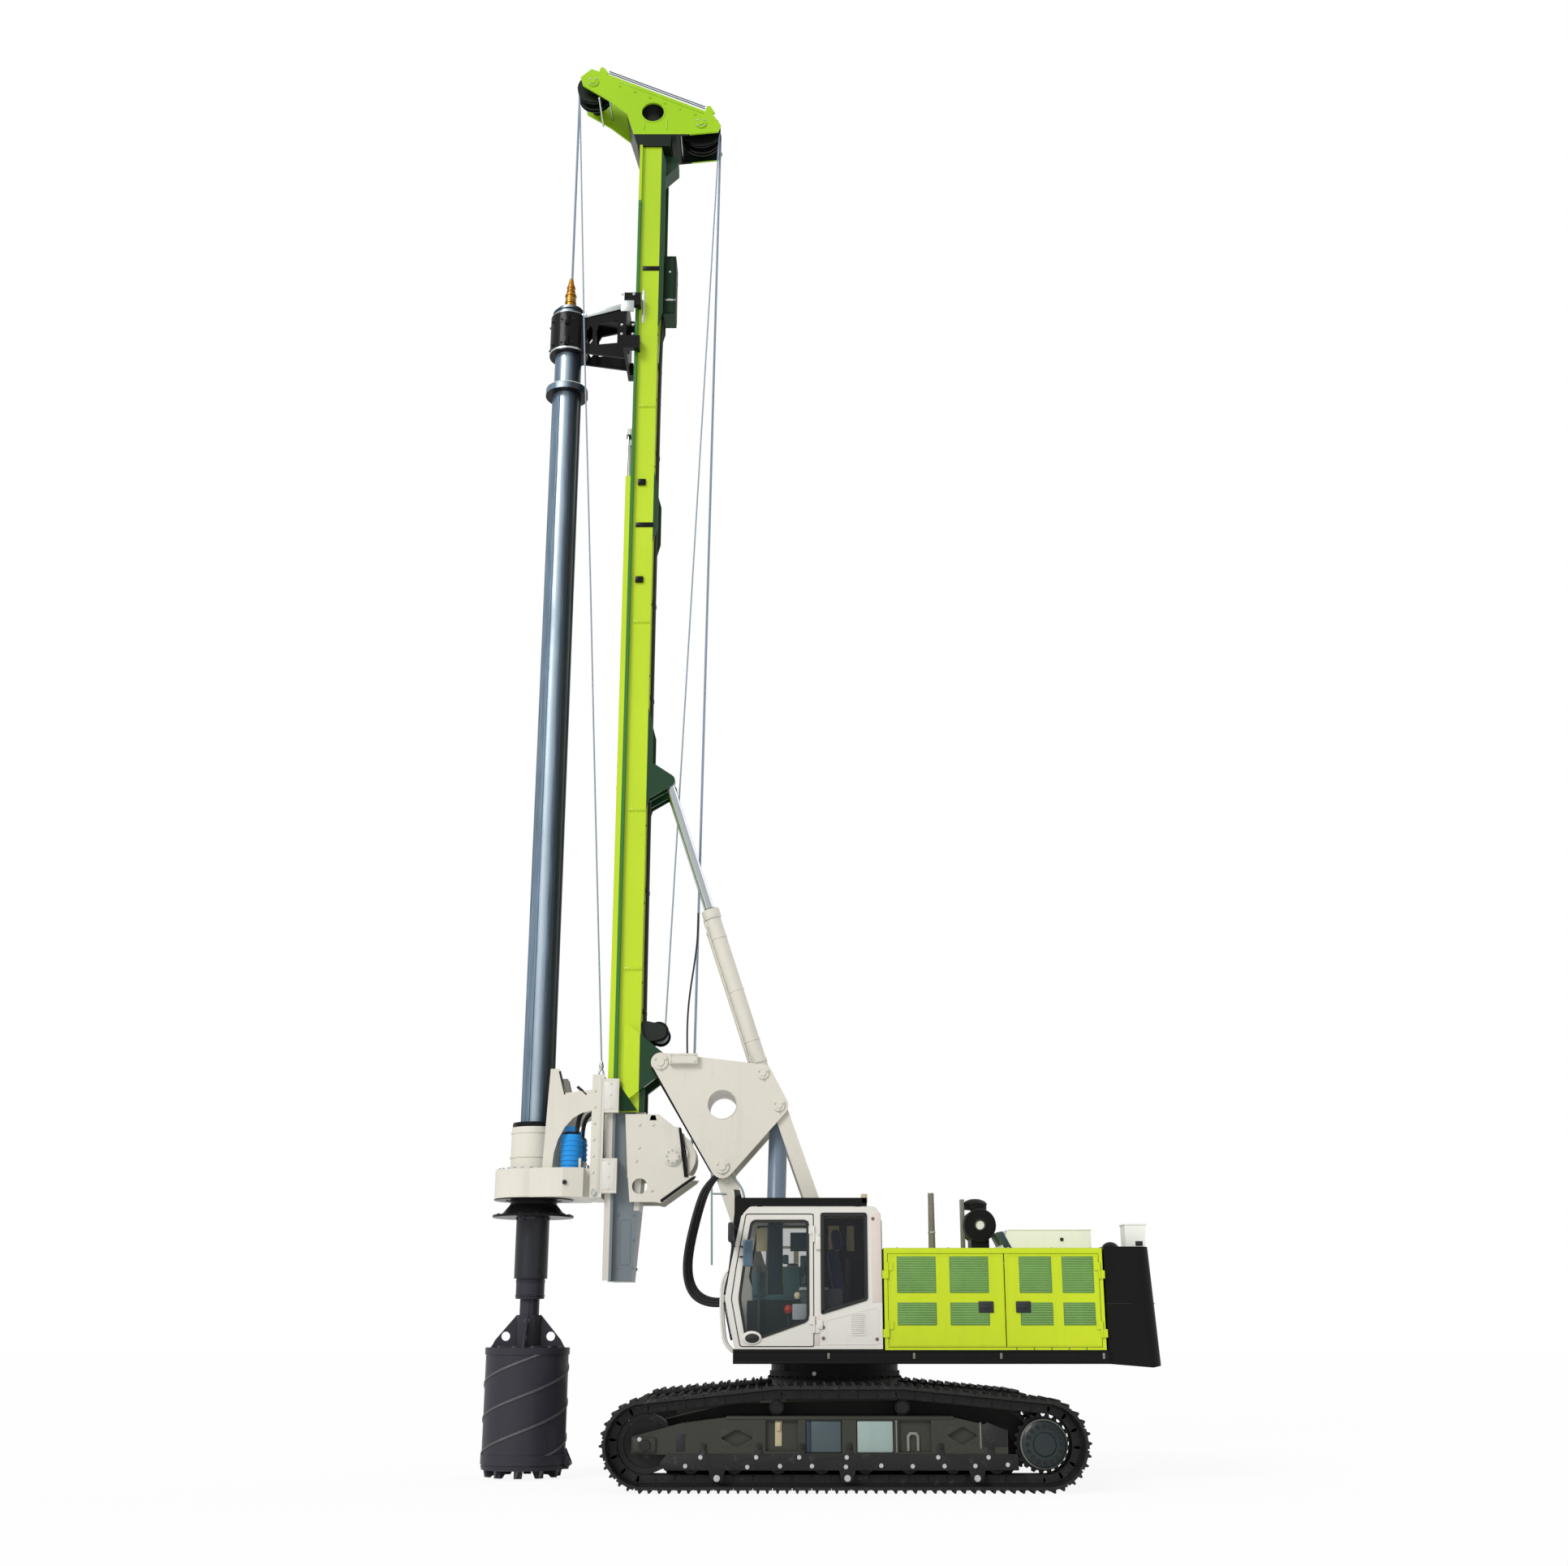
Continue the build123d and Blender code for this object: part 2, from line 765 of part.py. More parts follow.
def hood_door(x0, x1, hinge_side, grilles):
    """Left engine door between x0 and x1, hinged at its front (1) or rear (-1) edge, with its grilles."""
    gap = swing_gap
    panel = block(
        x0 + gap,
        x1 - gap,
        deck_half_width - door_panel,
        deck_half_width,
        deck_top + hood_rail / 2 + gap,
        hood_top - hood_rail - gap,
    )
    for g0, g1 in grilles:
        for bottom, top, slots in grille_rows:
            for slot in grille_slots(g0, g1, bottom, top, slots):
                panel -= slot
    hinge_x = x1 if hinge_side == 1 else x0
    for z in hood_hinge_heights:
        panel += knuckle(hinge_x, deck_half_width, -hinge_side, z)
    return panel


def engine():
    length, width, height = engine_size
    middle = engine_middle_x
    return block(middle - length / 2, middle + length / 2, -width / 2, width / 2, deck_top, deck_top + height)


def right_housing():
    """Fuel and oil tank housing on the right of the platform."""
    outline = [
        (hood_front, deck_top),
        (tank_front, deck_top),
        (tank_front, 2000),
        (tank_front - 260, tank_top),
        (hood_front, tank_top),
    ]
    return side_plate(outline, -deck_half_width, tank_inner_y)


def counterweight():
    """Cast weight behind the hood, wider at its foot, with rounded rear corners."""
    outline = [
        (deck_rear, weight_bottom + 40),
        (weight_rear + 120, weight_bottom),
        (weight_rear, weight_bottom + 20),
        (weight_top_rear, weight_top),
        (deck_rear, weight_top),
        (deck_rear, deck_top),
    ]
    body = side_plate(outline, -weight_half_width, weight_half_width)
    corners = body.edges().filter_by(Axis.Z, tolerance=6).sort_by(Axis.X)[:2]
    return fillet(corners, 160)


def air_filter():
    """Round intake filter on a saddle, its post and its rain cap."""
    x, z = filter_centre
    body = cross_bar(filter_centre, filter_radius, -filter_half_length, filter_half_length)
    body -= cross_bar(filter_centre, 60, filter_half_length - 60, filter_half_length + 1)
    saddle = block(x - 110, x + 110, -filter_half_length + 40, filter_half_length - 40, hood_top, z)
    post = block(x + 170, x + 215, -40, 40, hood_top, z + 320)
    neck = faceted_post(x + 30, 0, 60, z, z + 190)
    cap = faceted_post(x + 30, 0, 145, z + 200, z + 270, drum_sides)
    brace = block(x + 30, x + 215, -30, 30, z + 205, z + 235)
    return body + saddle + neck + cap + brace + post


def roof_fittings():
    """Long low cover, exhaust pipe and rear lamp dome on the engine housing and the weight."""
    low = hood_top
    high = low + cover_height
    cover_outline = [(cover_front, low), (cover_front - 90, high), (cover_rear, high), (cover_rear, low)]
    cover = side_plate(cover_outline, cover_middle_y - 330, cover_middle_y + 330)
    pipe = faceted_post(-1200, 300, 36, low, low + 700)
    dome_cut = block(-4000, -3000, -500, 500, weight_top - 300, weight_top)
    dome = Pos(-3440, 0, weight_top) * Sphere(dome_radius) - dome_cut
    box_top = weight_top + rear_box_height
    box_outline = [(-3400, weight_top), (-3400, box_top), (-3650, box_top), (-3625, weight_top)]
    box = side_plate(box_outline, 950, 1250)
    return cover, pipe, dome, box


# Boom linkage


def pin_bore(place, pin, y0, y1):
    """Bore with flat faces in which a round pin turns."""
    return faceted_bar(place, pin + pin_gap, y0, y1, round_bore=True)


def boom():
    """Front link: two legs joined by a cross tube and two sleeves."""
    inner, outer = boom_lane
    legs = both_sides(hull_plate([(*boom_foot, 110), (*boom_head, 120)], inner, outer))
    side_face = base_plate_inner - face_gap
    tube_place = (
        boom_foot[0] + boom_tube_share * (boom_head[0] - boom_foot[0]),
        boom_foot[1] + boom_tube_share * (boom_head[1] - boom_foot[1]),
    )
    tube = faceted_bar(tube_place, 75, -inner, inner, drum_sides)
    head = faceted_bar(boom_head, 120, -side_face, side_face, drum_sides)
    feet = both_sides(faceted_bar(boom_foot, 110, inner, side_face, drum_sides))
    link = legs[0] + legs[1] + tube + head + feet
    for pivot in (boom_foot, boom_head):
        link -= pin_bore(pivot, pivot_pin, -side_face - 1, side_face + 1)
    return link


def rear_links():
    """Two rear links, one on each side."""
    inner, outer = link_lane
    link = hull_plate([(*link_foot, 90), (*link_head, 90)], inner, outer)
    for place in (link_foot, link_head):
        link -= pin_bore(place, link_pin, inner - 1, outer + 1)
    return both_sides(link)


def cylinder_barrel(foot, eye, lane, radius, eye_width, pin, length, bore):
    """Barrel from its foot eye to its gland, open at the gland."""
    span = math.dist(foot, eye)
    barrel = bar_between(foot, eye, radius, lane, radius * 0.9, span - length)
    gland = bar_between(foot, eye, radius * 1.15, lane, length - 120, span - length)
    foot_eye = faceted_bar(foot, radius, lane - eye_width / 2, lane + eye_width / 2, drum_sides)
    barrel = barrel + gland + foot_eye
    barrel -= bar_between(foot, eye, bore, lane, radius * 1.6, 0, drum_sides)
    return barrel - pin_bore(foot, pin, lane - eye_width, lane + eye_width)


def cylinder_rod(foot, eye, lane, radius, eye_radius, eye_width, tail):
    """Rod from inside the barrel to its solid eye."""
    rod = bar_between(foot, eye, radius, lane, tail, eye_radius * 0.5)
    return rod + faceted_bar(eye, eye_radius, lane - eye_width / 2, lane + eye_width / 2, drum_sides)


luff_barrel_radius = 85
luff_rod_radius = 50
luff_barrel_length = 1480
luff_tail = luff_barrel_length - 230


def luff_barrels():
    bore = luff_rod_radius + pin_gap
    barrel = cylinder_barrel(
        boom_foot, link_head, luff_lane, luff_barrel_radius, 90, pivot_pin, luff_barrel_length, bore
    )
    return both_sides(barrel)


def luff_rods():
    return both_sides(cylinder_rod(boom_foot, link_head, luff_lane, luff_rod_radius, 75, 80, luff_tail))


def triangle():
    """Triangle plates with a through tube, the pins of the linkage and the box on the left plate."""
    corners = [(*boom_head, 140), (*mast_hinge, 120), (*mast_cylinder_foot, 110), (*link_head, 120)]
    plate = hull_plate(corners, base_plate_inner, base_plate_outer)
    body = cross_bar(triangle_window, 210, -base_plate_inner, base_plate_inner)
    for piece in both_sides(plate):
        body += piece
    body -= cross_bar(triangle_window, 180, -base_plate_outer - 1, base_plate_outer + 1)
    pins = ((boom_head, pivot_pin), (mast_hinge, mast_hinge_pin), (mast_cylinder_foot, mast_foot_pin))
    for pivot, pin in pins:
        body += cross_bar(pivot, pin, -base_plate_outer, base_plate_outer)
    for piece in both_sides(cross_bar(link_head, link_pin, luff_lane + 60, base_plate_outer)):
        body += piece
    return body + block(1700, 2060, base_plate_outer, base_plate_outer + 70, 4880, 5010)


mast_eye_width = 130
mast_foot_pin = 50
mast_barrel_radius = 100
mast_rod_radius = 60
mast_barrel_length = 2250
mast_rod_tail = mast_barrel_length - 170


def mast_barrels():
    bore = mast_rod_radius + pin_gap
    barrel = cylinder_barrel(
        mast_cylinder_foot,
        mast_cylinder_eye,
        mast_cylinder_lane,
        mast_barrel_radius,
        110,
        mast_foot_pin,
        mast_barrel_length,
        bore,
    )
    return both_sides(barrel)


def mast_rods():
    rod = cylinder_rod(
        mast_cylinder_foot,
        mast_cylinder_eye,
        mast_cylinder_lane,
        mast_rod_radius,
        90,
        mast_eye_width,
        mast_rod_tail,
    )
    return both_sides(rod)


# Mast


# Stretches of the mast whose side walls reach to its full depth: bottom, top
mast_gussets = ((mast_bottom, 5400), (8250, 9700), (12100, 13200), (15500, mast_top))


def mast_upper():
    """Hollow box with its guide flange, rail strips, rear gussets and cylinder lugs."""
    mast = block(mast_core_rear, mast_core_front, -mast_half_width, mast_half_width, mast_bottom, mast_top)
    mast -= block(
        mast_core_rear + mast_wall,
        mast_core_front - mast_wall,
        -mast_half_width + mast_wall,
        mast_half_width - mast_wall,
        mast_bottom - 1,
        mast_top - mast_wall,
    )
    mast += block(mast_core_front, flange_front, -flange_half_width, flange_half_width, mast_bottom, mast_top)
    for y0, y1 in ((strip_inner, flange_half_width), (-flange_half_width, -strip_inner)):
        mast += block(flange_front, strip_front, y0, y1, mast_bottom, strip_top)
    for z0, z1 in mast_gussets:
        slope = 0 if z0 == mast_bottom else 260
        outline = [(mast_core_rear, z0), (mast_rear, z0 + slope), (mast_rear, z1 - 260), (mast_core_rear, z1)]
        for piece in both_sides(side_plate(outline, mast_half_width - 20, mast_half_width)):
            mast += piece
    top_bracket = [(mast_core_rear, mast_top), (2200, mast_top - 60), (2200, 18360), (mast_core_rear, 18120)]
    mast += side_plate(top_bracket, -140, 140)
    for piece in mast_lugs() + mast_hinge_bracket():
        mast += piece
    return mast


def mast_lugs():
    """Lug plates for the mast cylinders' eyes, with their pin caps."""
    lugs = []
    half_gap = mast_eye_width / 2 + swing_gap
    foot_x = mast_core_rear - 30
    eye_z = mast_cylinder_eye[1]
    thickness = 22
    for lane in (mast_cylinder_lane, -mast_cylinder_lane):
        for side in (-1, 1):
            y = lane + side * (half_gap + thickness / 2)
            outline = [(*mast_cylinder_eye, 85), (foot_x, eye_z - 220, 30), (foot_x, eye_z + 240, 30)]
            lugs.append(hull_plate(outline, y - thickness / 2, y + thickness / 2))
    return lugs


def mast_hinge_bracket():
    """Side plates that carry the mast on its hinge pin."""
    outline = [(*mast_hinge, 115), (2600, 4480, 40), (2600, 5350, 40)]
    plate = hull_plate(outline, mast_half_width, base_plate_inner - swing_gap)
    return both_sides(plate - pin_bore(mast_hinge, mast_hinge_pin, 0, base_plate_outer))


def lower_mast():
    """Tapered foot of the mast under the green section, with the same rails."""
    outline = [
        (mast_core_rear - 90, mast_bottom),
        (mast_core_front, mast_bottom),
        (mast_core_front, lower_mast_bottom),
        (mast_core_rear + 40, lower_mast_bottom),
        (mast_core_rear - 40, mast_bottom - 1100),
    ]
    foot = side_plate(outline, -lower_mast_half_width, lower_mast_half_width)
    edge = flange_half_width
    foot += block(mast_core_front, flange_front, -edge, edge, lower_mast_bottom, mast_bottom)
    for y0, y1 in ((strip_inner, edge), (-edge, -strip_inner)):
        foot += block(flange_front, strip_front, y0, y1, lower_mast_bottom, mast_bottom)
    return foot


def winch_frame():
    """Side plates round the drum, carried by the lower mast, with the drum's stub shafts."""
    x, z = winch_centre
    inner = winch_half_length + 40
    outer = inner + 30
    outline = [
        (x + 600, z + 520),
        (x + 180, z + 520),
        (x - 10, z + 370),
        (x - 190, z + 60),
        (x - 160, z - 190),
        (x + 80, z - 420),
        (x + 180, z - 550),
        (x + 520, z - 550),
        (x + 560, z - 150),
    ]
    plate = side_plate(outline, inner, outer) - faceted_bar((x + 400, z - 360), 95, inner, outer, drum_sides)
    foot_rear = x + winch_flange_radius + 30
    foot = block(foot_rear, x + 560, lower_mast_half_width, inner, z - 250, z + 350)
    stub = cross_bar(winch_centre, winch_stub, inner - 100, inner)
    boss = faceted_bar(winch_centre, 110, outer, outer + 25, drum_sides)
    return both_sides(plate + foot + stub + boss)


def winch_drum():
    drum = faceted_bar(winch_centre, 200, -winch_half_length, winch_half_length, drum_sides)
    for y in (winch_half_length, -winch_half_length - 30):
        drum += faceted_bar(winch_centre, winch_flange_radius, y, y + 30, drum_sides)
    return drum - pin_bore(winch_centre, winch_stub, -winch_half_length - 50, winch_half_length + 50)


def aux_winch_frame():
    rear = mast_core_rear - 40
    x, z = aux_winch_centre
    plate = hull_plate([(x, z, 100), (rear, z - 100, 40), (rear, z + 100, 40)], 215, 235)
    return both_sides(plate + cross_bar(aux_winch_centre, aux_winch_stub, 140, 215))


def aux_winch_drum():
    drum = faceted_bar(aux_winch_centre, 80, -196, 196, drum_sides)
    for y in (196, -214):
        drum += faceted_bar(aux_winch_centre, 130, y, y + 18, drum_sides)
    return drum - pin_bore(aux_winch_centre, aux_winch_stub, -250, 250)


head_outline = [
    (3690, 19789),
    (3532, 19936),
    (3261, 19833),
    (1694, 19133),
    (1562, 18930),
    (1600, 18816),
    (2304, 18740),
    (2304, mast_top),
    (2800, mast_top),
    (2887, 18845),
    (2974, 19133),
    (3281, 19395),
    (3651, 19643),
]


head_hole = (2584, 19160)
head_rear_floor = [(2180, 18754), (2304, 18740), (2304, 18780), (2180, 18794)]
head_front_floor = [
    (2800, mast_top),
    (2887, 18845),
    (2974, 19133),
    (2934, 19133),
    (2850, 18860),
    (2780, 18620),
]
head_roof = [(2200, 19310), (3050, 19680), (3050, 19720), (2200, 19350)]

# Guard lugs on the head's top edge: middle, foot, top
head_lugs = ((3361, 19830, 19965), (1742, 19120, 19270))


def mast_head():
    """Box head: side, top and bottom plates, a through tube, the sheaves' axles and guard lugs."""
    y1 = head_plate_outer
    y0 = head_plate_outer - head_plate
    plate = side_plate(head_outline, y0, y1)
    head = block(2304, 2800, -y0, y0, mast_top, mast_top + 60)
    head += cross_bar(head_hole, 190, -y0, y0)
    for piece in both_sides(plate):
        head += piece
    head -= cross_bar(head_hole, 165, -y1 - 1, y1 + 1)
    for outline in (head_rear_floor, head_front_floor, head_roof):
        head += side_plate(outline, -y0, y0)
    for axle in (front_sheave, rear_sheave):
        head += cross_bar(axle, sheave_axle, -y1 - 25, y1 + 25)
    for x, z, top in head_lugs:
        lug = side_plate([(x - 90, z + 30), (x + 90, z - 50), (x + 30, top), (x - 20, top)], y0, y1)
        for piece in both_sides(lug):
            head += piece
    return head


def sheaves(axle, radius):
    """Main and auxiliary sheave on one hub."""
    reach = head_plate_outer - head_plate - face_gap
    body = faceted_bar(axle, 80, -reach, reach, drum_sides)
    for middle, width in ((0, 90), (190, 60)):
        body += faceted_bar(axle, radius - 25, middle - width / 4, middle + width / 4, drum_sides)
        for y in (middle - width / 2, middle + width / 4):
            body += faceted_bar(axle, radius, y, y + width / 4, drum_sides)
    return body - pin_bore(axle, sheave_axle, -head_plate_outer, head_plate_outer)


def cable_box():
    """Closed box at the rear of the mast, on its neck."""
    neck_front = mast_core_rear
    neck = block(mast_rear, neck_front, -120, 120, cable_box_bottom + 100, cable_box_top - 70)
    return block(2200, mast_rear, -190, 190, cable_box_bottom, cable_box_top) + neck


def crowd_barrel():
    barrel = upright(crowd_x, 0, crowd_barrel_radius, crowd_barrel_bottom, crowd_barrel_top)
    barrel -= upright(crowd_x, 0, crowd_rod_radius + pin_gap, crowd_barrel_bottom - 1, crowd_barrel_top - 60)
    for share in (0.02, 0.25, 0.6, 0.95):
        z = crowd_barrel_bottom + share * (crowd_barrel_top - crowd_barrel_bottom)
        barrel += block(flange_front, crowd_x, -90, -crowd_barrel_radius + 8, z, z + 80)
        barrel += block(flange_front, crowd_x, crowd_barrel_radius - 8, 90, z, z + 80)
    return barrel


# Rotary drive and kelly


def rail_shoe(z0, z1):
    """Left shoe that grips the mast's flange and strip."""
    edge = flange_half_width + slide_gap
    shoe = block(mast_core_front - 40, sled_rear, strip_inner - 10, sled_half_width, z0, z1)
    shoe -= block(mast_core_front - slide_gap, strip_front + slide_gap, 0, edge, z0 - 1, z1 + 1)
    shoe -= block(2600, mast_core_front, 0, mast_half_width + 20, z0 - 1, z1 + 1)
    return shoe


def drive_arm():
    """Left arm plate over the gear case, with its arch round the motor and its upright horn."""
    rear = sled_front + 95
    steps = 6
    arch = []
    for i in range(steps + 1):
        turn = math.pi / 2 * i / steps
        arch.append((rear + arch_reach * math.cos(turn), drive_top + arch_height * math.sin(turn)))
    horn_top = drive_top + 1220
    outline = [(rear, sled_top - 190)] + arch[::-1]
    outline += [(kelly_x - 150, drive_top), (kelly_x - 210, horn_top)]
    outline += [(kelly_x - 320, horn_top), (kelly_x - 405, sled_top - 230)]
    return side_plate(outline, drive_arm_inner, drive_arm_outer)


def drive_sled():
    """Carriage of the rotary drive: four shoes, side plates, a front plate and the arms to the gear case."""
    sled = block(sled_rear, sled_front, -sled_half_width, sled_half_width, sled_bottom, sled_top)
    sled -= block(sled_rear - 5, sled_front + 5, -200, 200, sled_bottom + 550, sled_top - 150)
    for z0, z1 in ((sled_bottom + 50, sled_bottom + 470), (sled_top - 470, sled_top - 50)):
        for piece in both_sides(rail_shoe(z0, z1)):
            sled += piece
    side = block(sled_rear - 15, sled_front + 95, drive_arm_inner, drive_arm_outer, sled_bottom, sled_top)
    for piece in both_sides(side) + both_sides(drive_arm()):
        sled += piece
    sled += block(crowd_x, sled_rear + 5, -40, 40, sled_bottom, sled_bottom + 120)
    return sled - upright(crowd_x, 0, crowd_rod_radius + pin_gap, sled_bottom - 1, sled_bottom + 121)


def crowd_rod():
    return upright(crowd_x, 0, crowd_rod_radius, sled_bottom, crowd_barrel_bottom + 700)


def gear_case():
    """Gear case round the kelly with its collar."""
    outline = [
        (3080, -560),
        (3330, -600),
        (kelly_x, -drive_radius),
        (kelly_x, drive_radius),
        (3330, 600),
        (3080, 560),
    ]
    case = top_plate(outline, drive_bottom, drive_top)
    case += upright(kelly_x, 0, drive_radius, drive_bottom, drive_top)
    case += upright(kelly_x, 0, 310, drive_top, drive_collar_top)
    case += block(sled_front, 3090, -430, 430, drive_bottom, drive_top)
    return case - upright(kelly_x, 0, sleeve_outer + pin_gap, drive_bottom - 1, drive_collar_top + 1)


def drive_motors():
    """Two motors on the gear case, each with its valve block on top."""
    motors = []
    for y in (-290, 290):
        motor = faceted_post(3270, y, 130, drive_top, drive_top + 420, drum_sides)
        motors.append(motor + block(3200, 3340, y - 70, y + 70, drive_top + 420, drive_top + 520))
    return motors


def drive_sleeve():
    """Turning sleeve with the cone and the adapter flange under the gear case."""
    sleeve = upright(kelly_x, 0, sleeve_outer, drive_bottom - 70, drive_collar_top + 30)
    sleeve += upright(kelly_x, 0, sleeve_flange_radius, sleeve_flange_bottom, sleeve_flange_bottom + 30)
    sleeve += cone(kelly_x, 0, 400, 290, sleeve_flange_bottom + 30, drive_bottom - 60)
    sleeve += upright(kelly_x, 0, 290, drive_bottom - 60, drive_bottom - face_gap)
    sleeve += upright(kelly_x, 0, 300, drive_collar_top + face_gap, drive_collar_top + 60)
    return sleeve - upright(kelly_x, 0, sleeve_inner, 3000, drive_collar_top + 100)


def kelly_guide():
    """Clamp ring round the kelly on two windowed arms from a carriage on the mast."""
    ring = upright(kelly_x, 0, guide_ring_radius, guide_bottom, guide_top - face_gap)
    arm_front = kelly_x - kelly_radius + 20
    carriage = 2900
    arm_outline = [
        (arm_front, guide_bottom),
        (arm_front, guide_top - 10),
        (carriage, guide_top + 180),
        (carriage, guide_bottom - 100),
    ]
    guide = ring
    for piece in both_sides(side_plate(arm_outline, 150, 185)):
        guide += piece
    guide += block(carriage, arm_front - 40, -150, 150, guide_top - 60, guide_top - 20)
    front_window = [(3440, 15290), (3390, 15360), (3390, 15560), (3430, 15620), (3470, 15560), (3480, 15350)]
    mast_window = [(3030, 15330), (3030, 15700), (3290, 15640), (3330, 15560), (3330, 15300)]
    for window in (front_window, mast_window):
        guide -= side_plate(window, -200, -140) + side_plate(window, 140, 200)
    low = guide_bottom - 100
    high = guide_top + 180
    guide += block(sled_rear, sled_front, -sled_half_width, sled_half_width, low, high)
    for z0, z1 in ((low, low + 200), (high - 200, high)):
        for piece in both_sides(rail_shoe(z0, z1)):
            guide += piece
    return guide - upright(kelly_x, 0, kelly_radius + pin_gap, guide_bottom - 1, guide_top + 1)


def kelly_outer():
    """Outer kelly tube with drive ribs, thrust ring, top collar and foot."""
    tube = upright(kelly_x, 0, kelly_radius, kelly_bottom, guide_top + 160)
    tube += upright(kelly_x, 0, guide_ring_radius - 30, guide_top, guide_top + 100)
    tube += upright(kelly_x, 0, thrust_ring_radius, thrust_ring_z, thrust_ring_z + 90)
    tube += upright(kelly_x, 0, kelly_radius + kelly_rib, kelly_bottom, kelly_foot_top)
    for i in range(6):
        rib = block(kelly_radius - 10, kelly_radius + kelly_rib, -25, 25, kelly_foot_top, thrust_ring_z)
        tube += Pos(kelly_x, 0, 0) * Rot(0, 0, 60 * i) * rib
    bore_radius = kelly_radius - kelly_wall
    tube -= faceted_post(kelly_x, 0, bore_radius, kelly_bottom + 250, guide_top + 200, drum_sides, True)
    return tube - upright(kelly_x, 0, inner_kelly_radius + pin_gap, kelly_bottom - 1, kelly_bottom + 300)


def kelly_inner():
    """Inner bar with its stop ring, its neck above the tool and its stub in the tool's bracket."""
    hollow = inner_kelly_radius - inner_kelly_wall
    stop_radius = kelly_radius - kelly_wall - pin_gap
    bar = faceted_post(kelly_x, 0, inner_kelly_radius, neck_bottom, guide_top + 100, drum_sides)
    bar -= faceted_post(kelly_x, 0, hollow, kelly_bottom + 100, guide_top + 40)
    bar += upright(kelly_x, 0, neck_radius, neck_bottom, kelly_bottom - face_gap)
    bar += faceted_post(kelly_x, 0, 120, bracket_top, neck_bottom)
    return bar + faceted_post(kelly_x, 0, stop_radius, guide_top - 300, guide_top - 200, drum_sides)


def rope_swivel():
    """Swivel eye between the hoist rope and the inner kelly."""
    swivel = upright(kelly_x, 0, 75, guide_top + 100, swivel_top - 260)
    swivel += faceted_post(kelly_x, 0, 55, swivel_top - 260, swivel_top - 120, drum_sides)
    return swivel + cone(kelly_x, 0, 50, 28, swivel_top - 120, swivel_top)


def bucket_bracket():
    """Cone of crossed plates over the bucket, round its socket."""
    bracket = upright(kelly_x, 0, 150, bucket_top, bracket_top)
    rib = side_plate(
        [
            (-450, bucket_top),
            (450, bucket_top),
            (400, bucket_top + 90),
            (150, bracket_top),
            (-150, bracket_top),
            (-400, bucket_top + 90),
        ],
        -15,
        15,
    )
    for x in (-275, 275):
        rib -= faceted_bar((x, bucket_top + 130), 55, -20, 20)
    for turn in (0, 90):
        bracket += Pos(kelly_x, 0, 0) * Rot(0, 0, turn) * rib
    return bracket


def bucket_shell():
    """Open tube with a lid, two bands and the door's hinge ears."""
    shell = upright(kelly_x, 0, bucket_radius, bucket_bottom, bucket_top)
    shell += upright(kelly_x, 0, bucket_radius + bucket_band, bucket_bottom, bucket_bottom + 110)
    shell += upright(kelly_x, 0, bucket_radius + bucket_band, bucket_top - 80, bucket_top)
    for ear in bucket_hinge_ears():
        shell += ear
    inner = bucket_radius - bucket_wall
    return shell - faceted_post(kelly_x, 0, inner, bucket_bottom - 1, bucket_top - 30, race_sides)


bucket_hinge = (kelly_x - bucket_radius - 45, bucket_bottom)


def bucket_hinge_ears():
    """Ears on the bucket's rear that hold the door's pin."""
    wall_x = kelly_x - bucket_radius
    foot_x = wall_x + 10
    outline = [(*bucket_hinge, 32), (foot_x, bucket_bottom + 30, 20), (foot_x, bucket_bottom + 150, 20)]
    ear = hull_plate(outline, 70, 100)
    return both_sides(ear - pin_bore(bucket_hinge, bucket_hinge_pin, 60, 110))


def bucket_door():
    """Bottom plate with teeth, hung at its rear edge."""
    top = bucket_bottom - slide_gap
    door = upright(kelly_x, 0, bucket_radius, top - 60, top)
    for i in range(10):
        tooth = side_plate([(300, top - 60), (440, top - 60), (430, 18), (390, 18)], -45, 45)
        door += Pos(kelly_x, 0, 0) * Rot(0, 0, 18 + 36 * i) * tooth
    arm = block(bucket_hinge[0], kelly_x - bucket_radius + 60, -60, 60, top - 60, top)
    barrel = faceted_bar(bucket_hinge, 30, -66, 66)
    pin = cross_bar(bucket_hinge, bucket_hinge_pin, -100, 100)
    clear = block(bucket_hinge[0] + 33, kelly_x, -70, 70, top, top + 40)
    return door + (arm + barrel - clear) + pin


def undercarriage():
    left_rollers = track_rollers()
    right_rollers = [mirror(roller, about=Plane.XZ) for roller in left_rollers]
    loop = track_loop(track_centre_y)
    put("track_left", loop)
    put("track_right", mirror(loop, about=Plane.XZ))
    put("track_frames", *both_sides(track_frame()))
    put("drive_sprockets", *both_sides(drive_sprocket()))
    put("front_idlers", *both_sides(front_idler()))
    put("track_rollers", *left_rollers, *right_rollers)
    put("car_body", car_body())
    put("slew_ring", slew_ring())


